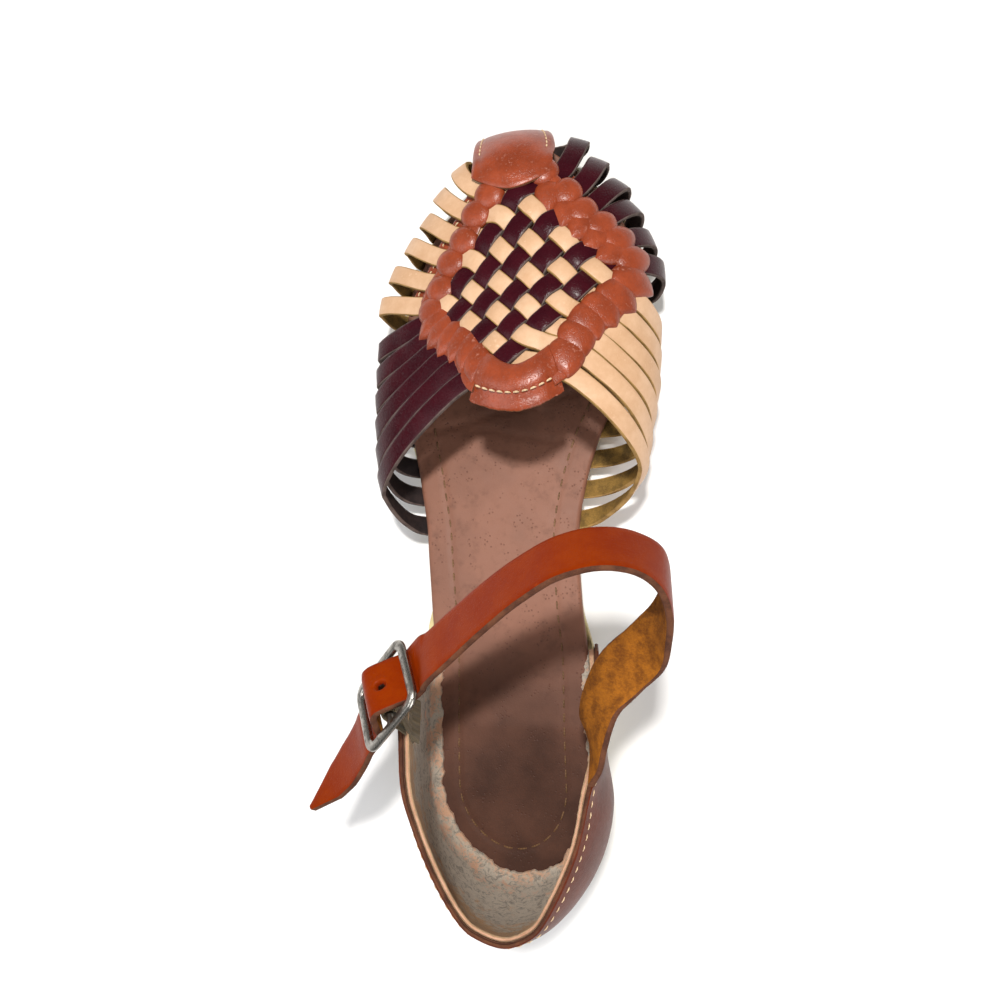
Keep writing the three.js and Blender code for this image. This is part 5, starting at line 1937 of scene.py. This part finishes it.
    def seam(self) -> Skin:
        """Makes the seam below the rim and down the two front edges.

        Returns:
            Its stitches.
        """
        turn = np.linspace(-5.2, 4.9, 300)
        tall = np.linalg.norm(self.point(turn, 1.0) - self.point(turn, 0.0), axis=1)
        height = 1 - self.seam_drop / np.maximum(tall, 8)
        path = self.point(turn, height)
        return stitches(path, self.foot_out(turn), 2.2, 0.9, 0.28, 0.24)

    def build(self, leathers: Leathers) -> None:
        """Builds the quarter's layers and seam.

        Args:
            leathers: The shared finishes.
        """
        turn = np.concatenate([[-6, -5.97], np.linspace(-5.9, 5.9, 200), [5.97, 6]])
        height = np.concatenate([np.linspace(0, 0.95, 34), [0.975, 0.99, 0.997, 1.0]])
        skin = self.layer(turn, height, 0.0, self.leather, (0, 1, 1))
        board_turn = np.linspace(-5.93, 5.93, 120)
        board_height = np.concatenate([np.linspace(0.05, 0.96, 8), [0.985, 0.99]])
        board = self.layer(board_turn, board_height, self.leather + 0.02, self.leather + self.stiffener,
                           (0, 0, 0))
        board_finish = Suede("quarter_board", (0.14, 0.06, 0.035), (0.06, 0.025, 0.015), 0.4).material()
        rim = Suede("lining_edge", (0.62, 0.36, 0.24), (0.42, 0.22, 0.13), 0.4).material()
        for name, layer, finishes in (
            ("quarter_leather", skin, [leathers.dark, leathers.dark_edge]),
            ("quarter_stiffener", board, [board_finish]),
            ("quarter_lining", self.lining(), [leathers.lining, rim]),
            ("quarter_stitches", self.seam(), [leathers.pale_thread]),
        ):
            make_piece(name, layer, finishes, "quarter")


# ---- Ankle strap, buckle and elastic ----


@dataclass
class BuckleAxes:
    """The buckle's centre and its own axes: along the strap, out of it, and across it."""

    centre: Triple = (-26.8, 41.0, 80.0)
    along_aim: Triple = (-0.605, -0.70, -0.38)
    out_aim: Triple = (-0.754, 0.1944, 0.627)

    @property
    def axes(self) -> Array:
        """Returns the three unit axes as rows: along, across and out."""
        along, out = unit(np.array(self.along_aim)), unit(np.array(self.out_aim))
        return np.stack([along, unit(np.cross(out, along)), out])

    def place(self, along: Array | float, across: Array | float, out: Array | float) -> Array:
        """Returns points given in the buckle's own axes."""
        own = np.stack(np.broadcast_arrays(along, across, out), -1)
        return np.array(self.centre) + own @ self.axes


@dataclass
class AnkleStrap:
    """The strap over the instep: from the quarter, through the buckle, to its pointed tail."""

    buckle: BuckleAxes
    thickness: float = 2.0
    step: float = 0.6
    hole_radius: float = 1.3
    free: Table = field(default_factory=lambda: Table("row x y z lean width", [
        (0, 30.2, 19.4, 64, 4, 19), (1, 30.7, 22.8, 65.4, 9, 18.6), (2, 30.7, 29.7, 69.5, 28, 17),
        (3, 33.9, 41.8, 72, 45, 15.8), (4, 39.3, 49.3, 75, 70, 15.6), (5, 45.3, 55.5, 79, 60, 15.6),
        (6, 49.8, 63.7, 86, 25, 15.6), (7, 51.1, 71.5, 93, 0, 15.8), (8, 48.8, 78.9, 99, -22, 15.8),
        (9, 42.9, 82.8, 103, -33, 15.8), (10, 34.2, 84, 106, -36, 15.8), (11, 24.6, 81.8, 106, -36, 15.8),
        (12, 14.6, 76.1, 103, -36, 15.8), (13, 4, 68, 98, -38, 15.8), (14, -5.8, 59.5, 92, -40, 15.8),
        (15, -13.5, 52.6, 87, -42, 15.8),
    ]))
    held: tuple[tuple[float, float], ...] = (
        (-13.5, -2.9), (-10, -2.6), (-5.6, 1.2), (0, 4.8),
        (5.6, 1.2), (10, -2.6), (13.5, -2.9), (17, -3.0),
    )
    held_width: float = 15.8
    tail: tuple[tuple[float, float, float, float], ...] = (
        (-37.4, 24.2, 68.5, 15.4), (-42.6, 16.6, 64.2, 15.2),
        (-47.4, 10.6, 61.8, 12.2), (-55.5, 1.6, 60.0, 1.6),
    )
    hole_spots: tuple[float, ...] = (-4.2,)

    def rows(self) -> tuple[Array, Array, Array]:
        """Returns the strap's rows: over the instep, through the buckle, and down the tail.

        Returns:
            Middle points, directions across, and widths.
        """
        free = np.stack([self.free.columns[name] for name in ("x", "y", "z")], -1)
        held = np.stack([self.buckle.place(along, 0, out) for along, out in self.held])
        tail = np.array(self.tail)
        centres = np.concatenate([free, held, tail[:, :3]])
        run = unit(np.gradient(centres, axis=0))
        up = unit(np.array([0, 0, 1.0]) - run * run[:, 2:])
        outward = np.cross(run, up)
        lean = np.radians(self.free.columns["lean"])[:, None]
        leaning = np.cos(lean) * up[: len(free)] + np.sin(lean) * outward[: len(free)]
        across = np.concatenate([leaning, np.tile(self.buckle.axes[1], (len(centres) - len(free), 1))])
        held_widths = np.full(len(held), self.held_width)
        widths = np.concatenate([self.free.columns["width"], held_widths, tail[:, 3]])
        return centres, across, widths

    def build(self, leathers: Leathers) -> None:
        """Lofts the strap, with a hump over the bar, punched holes as dimples with painted shade inside, and
        fuzzy edges.

        Args:
            leathers: The shared finishes.
        """
        centres, across, widths = self.rows()
        key = travel_along(centres)
        places = np.arange(0, key[-1], self.step)
        line, side, out = carried(centres, across, places)
        bar_at = key[len(self.free.key) + self.held.index((0, 4.8))]
        shares = np.concatenate([[-0.955, -0.9], np.linspace(-0.8, 0.8, 33), [0.9, 0.955]])
        fuzz = 1 + 0.006 * ripple(places, 3, 5)
        half_width = (np.interp(places, key, widths) * fuzz / 2)[:, None]
        offset = shares[None, :] * half_width
        reach = np.minimum.reduce([
            np.hypot(places[:, None] - bar_at - spot, offset) for spot in self.hole_spots
        ])
        dimple = 1.5 * (1 - ease((reach - self.hole_radius + 0.35) / 0.7))
        collar = 0.14 * np.exp(-((reach - self.hole_radius - 0.9) / 0.6) ** 2)
        half = self.thickness / 2
        rise = half + 0.12 * (1 - shares ** 2) - 0.16 * ease((np.abs(shares) - 0.8) / 0.15)
        rim_shares, rim_levels = np.array([
            (1.0, 0.55), (1.005, 0.0), (1.0, -0.6), (0.95, -1.0), (0.5, -1.0), (0.0, -1.0),
            (-0.5, -1.0), (-0.95, -1.0), (-1.0, -0.6), (-1.005, 0.0), (-1.0, 0.55),
        ]).T
        offsets = np.concatenate([offset, rim_shares * half_width], 1)
        rim_heights = np.tile(rim_levels * half, (len(places), 1))
        heights = np.concatenate([rise - dimple + collar, rim_heights], 1)
        rings = line[:, None] + side[:, None] * offsets[..., None] + out[:, None] * heights[..., None]
        finish = [0] * (len(shares) - 1) + [2] * 4 + [1] * 4 + [2] * 4
        tone = np.zeros(rings.shape[:2])
        # Painted shade: a tone of 3 in the dimples of the punched holes paints them near black.
        tone[:, : len(shares)] = (3.0 * ease((self.hole_radius + 0.1 - reach) / 0.5)
                                  + 0.35 * ease((np.abs(shares) - 0.82) / 0.14)[None, :])
        skin = loft(rings, finish, 2, tone=tone)
        make_piece("ankle_strap_leather", skin, [leathers.ankle, leathers.gold_suede, leathers.dark_edge],
                   "ankle_strap", 55)


@dataclass
class Buckle:
    """The metal buckle: a rounded frame, its bar, and a prong that is swung aside."""

    axes: BuckleAxes
    length: float = 27.0
    width: float = 23.2
    bar: float = 3.0
    thickness: float = 1.8
    corner: float = 4.0
    pin_radius: float = 1.1

    def frame_skin(self) -> Skin:
        """Carries a soft-cornered section round a rounded rectangle.

        Returns:
            The closed frame, with its rubbed edges as the tone.
        """
        half_x, half_y = (self.length - self.bar) / 2, (self.width - self.bar) / 2
        radius = self.corner - self.bar / 2 + 0.6
        turn = np.radians(np.linspace(0, 90, 10))
        corners = []
        for quarter, (sx, sy) in enumerate(((1, 1), (-1, 1), (-1, -1), (1, -1))):
            angle = turn + quarter * math.pi / 2
            corners.append(np.stack([sx * (half_x - radius) + radius * np.cos(angle),
                                     sy * (half_y - radius) + radius * np.sin(angle)], -1))
        path = np.concatenate(corners)
        out = unit(np.roll(path, -1, 0) - np.roll(path, 1, 0))[:, ::-1] * np.array([1, -1])
        bend = np.radians(np.arange(0, 360, 22.5))
        across = np.sign(np.cos(bend)) * np.abs(np.cos(bend)) ** 0.75 * self.bar / 2
        height = np.sign(np.sin(bend)) * np.abs(np.sin(bend)) ** 0.75 * self.thickness / 2
        flat = path[:, None] + out[:, None] * across[None, :, None]
        rings = self.axes.place(flat[..., 0], flat[..., 1], np.broadcast_to(height, flat.shape[:2]))
        tone = np.broadcast_to(0.9 * np.abs(np.cos(bend)) ** 3 + 0.2 * (np.sin(bend) > 0.6), rings.shape[:2])
        return loft(rings, closed=True, tone=tone)

    def build(self) -> None:
        """Builds the frame with its bar, and the prong."""
        metal = AgedMetal().material()
        reach = (self.width - self.bar) / 2
        bar = tube(self.axes.place(0, np.linspace(-reach, reach, 12), 0), self.pin_radius, 18)
        ring = joined([self.frame_skin(), bar])
        make_piece("buckle_ring", ring, [metal], "buckle_frame", 50)
        turn = np.radians(np.linspace(-60, 268, 30))
        eye = self.axes.place(1.85 * np.cos(turn), -7.65, 1.85 * np.sin(turn))
        knots = np.array([(0.1, -8.4, -2.1), (1.2, -10.4, -2.35), (2.1, -12.0, -2.45), (3.0, -13.4, -2.4)])
        pin = self.axes.place(knots[:, 0], knots[:, 1], knots[:, 2])
        path = smooth_polyline(np.concatenate([eye, pin]), 0.35)
        share = np.linspace(0, 1, len(path))
        girth = mix(0.62, 0.85, ease(share / 0.6)) * (1 - 0.45 * ease((share - 0.75) / 0.2))
        girth = girth * np.sqrt(np.clip((1 - share) / 0.03, 0.05, 1))
        make_piece("buckle_pin", tube(path, girth, 14), [metal], "buckle_prong", 50)


@dataclass
class ElasticLoop:
    """Elastic round the bar, with both its layers running down inside the quarter."""

    axes: BuckleAxes
    width: float = 13.0
    thickness: float = 0.9
    loop_radius: float = 1.9
    foot: Triple = (-23.4, 28.4, 57.0)
    foot_across: Triple = (0.0, -0.75, 0.66)

    def build(self) -> None:
        """Carries a flat strip from the quarter, round the bar and back.

        A row is how far down from the bar it lies, how far aside, and its share of the way from
        the buckle's axes to its foot inside the quarter.
        """
        along, cross, out = self.axes.axes
        centre, foot = np.array(self.axes.centre), np.array(self.foot)
        reach = foot - centre
        down = unit(np.array([reach @ along, reach @ out]))
        aside = np.array([-down[1], down[0]])

        up = [(0, 1, 1), (8, 1.2, 0.66), (5, 1.5, 0.33), (2.2, self.loop_radius, 0.05)]
        arc = [(self.loop_radius * math.cos(a), self.loop_radius * math.sin(a), 0)
               for a in np.radians(range(100, 261, 20))]
        back = [(depth, -offset, share) for depth, offset, share in up[::-1]]
        depth, offset, share = np.array(up + arc + back).T[..., None]
        flat = down * depth + aside * offset
        above = self.axes.place(flat[:, 0], 0, flat[:, 1])
        below = foot + np.sign(offset) * np.array([0.6, 0, 0])
        centres = mix(above, below, share)
        sides = unit(mix(cross, np.array(self.foot_across), share))
        line, side, face = carried(centres, sides, np.linspace(0, travel_along(centres)[-1], 110))
        shares = np.linspace(-1, 1, 15)
        middle = line[:, None] + side[:, None] * (shares * self.width / 2)[None, :, None]
        lift = face[:, None] * (self.thickness / 2 * (1 - 0.6 * np.abs(shares) ** 8))[None, :, None]
        web = slab(middle + lift, middle - lift, (0, 0, 0))
        make_piece("elastic_web", web, [HerringboneElastic().material()],
                   "elastic_loop")


# ---- Studio ----


@dataclass(frozen=True)
class Lamp:
    """A square area light: where it is and what it points at, its side, its watts and colour."""

    name: str
    spot: Triple
    aim: Triple
    size: float
    power: float
    colour: Colour

    def add(self) -> None:
        """Adds the light to the scene."""
        lamp = bpy.data.lights.new(self.name, "AREA")
        lamp.size, lamp.energy, lamp.color = self.size * METRES, self.power, self.colour
        item = bpy.data.objects.new(self.name, lamp)
        item.location = Vector(self.spot) * METRES
        item.rotation_euler = (Vector(self.aim) - Vector(self.spot)).to_track_quat("-Z", "Y").to_euler()
        show(item)


@dataclass
class Studio:
    """A pale floor, soft lights, and a camera above the medial side of the waist."""

    camera_spot: Triple = (46.5, 94.7, 335.7)
    target: Triple = (1.0, 96.0, 50.0)
    focal: float = 33.84
    sensor: float = 36.0
    floor_reach: float = 2500.0
    sky_strength: float = 0.14
    lamps: tuple[Lamp, ...] = (
        Lamp("key", (60, 330, 800), (5, 80, 50), 55, 6.7, (1.0, 0.98, 0.95)),
        Lamp("fill", (-420, 90, 430), (0, 90, 40), 420, 1.5, (0.95, 0.97, 1.0)),
        Lamp("back", (260, -260, 420), (0, 90, 40), 400, 2.1, (1.0, 1.0, 1.0)),
    )

    def build(self) -> None:
        """Adds the floor, the lights, the sky and the camera."""
        mesh = bpy.data.meshes.new("floor")
        size = self.floor_reach * METRES
        corners = [(-size, -size, 0), (size, -size, 0), (size, size, 0), (-size, size, 0)]
        mesh.from_pydata(corners, [], [(0, 1, 2, 3)])
        mesh.materials.append(PaleFloor().material())
        floor = bpy.data.objects.new("floor", mesh)
        show(floor)
        for lamp in self.lamps:
            lamp.add()
        scene = bpy.context.scene
        scene.view_settings.view_transform = "Standard"
        scene.world = bpy.data.worlds.new("sky")
        scene.world.use_nodes = True
        sky = scene.world.node_tree.nodes["Background"]
        sky.inputs["Color"].default_value = (1.0, 1.0, 1.0, 1.0)
        sky.inputs["Strength"].default_value = self.sky_strength
        lens = bpy.data.cameras.new("camera")
        lens.sensor_width, lens.lens = self.sensor, self.focal
        lens.clip_start, lens.clip_end = 0.01, 10.0
        camera = bpy.data.objects.new("camera", lens)
        spot = Vector(self.camera_spot) * METRES
        ahead = (Vector(self.target) * METRES - spot).normalized()
        right = ahead.cross(Vector((0, 1, 0))).normalized()
        turn = Matrix((right, right.cross(ahead), -ahead)).transposed()
        camera.matrix_world = Matrix.Translation(spot) @ turn.to_4x4()
        show(camera)
        scene.camera = camera


def main() -> None:
    """Builds every sub-assembly in order."""
    logging.basicConfig(level=logging.INFO, format="%(name)s %(message)s")
    last, plan, leathers = Last(), FramePlan(), Leathers()
    buckle = BuckleAxes()
    Outsole(last).build()
    Insole(last).build(leathers)
    WovenStraps(last, plan).build(leathers)
    VampFrame(last, plan).build(leathers)
    Quarter(last).build(leathers)
    AnkleStrap(buckle).build(leathers)
    Buckle(buckle).build()
    ElasticLoop(buckle).build()
    Studio().build()


if __name__ == "__main__":
    main()
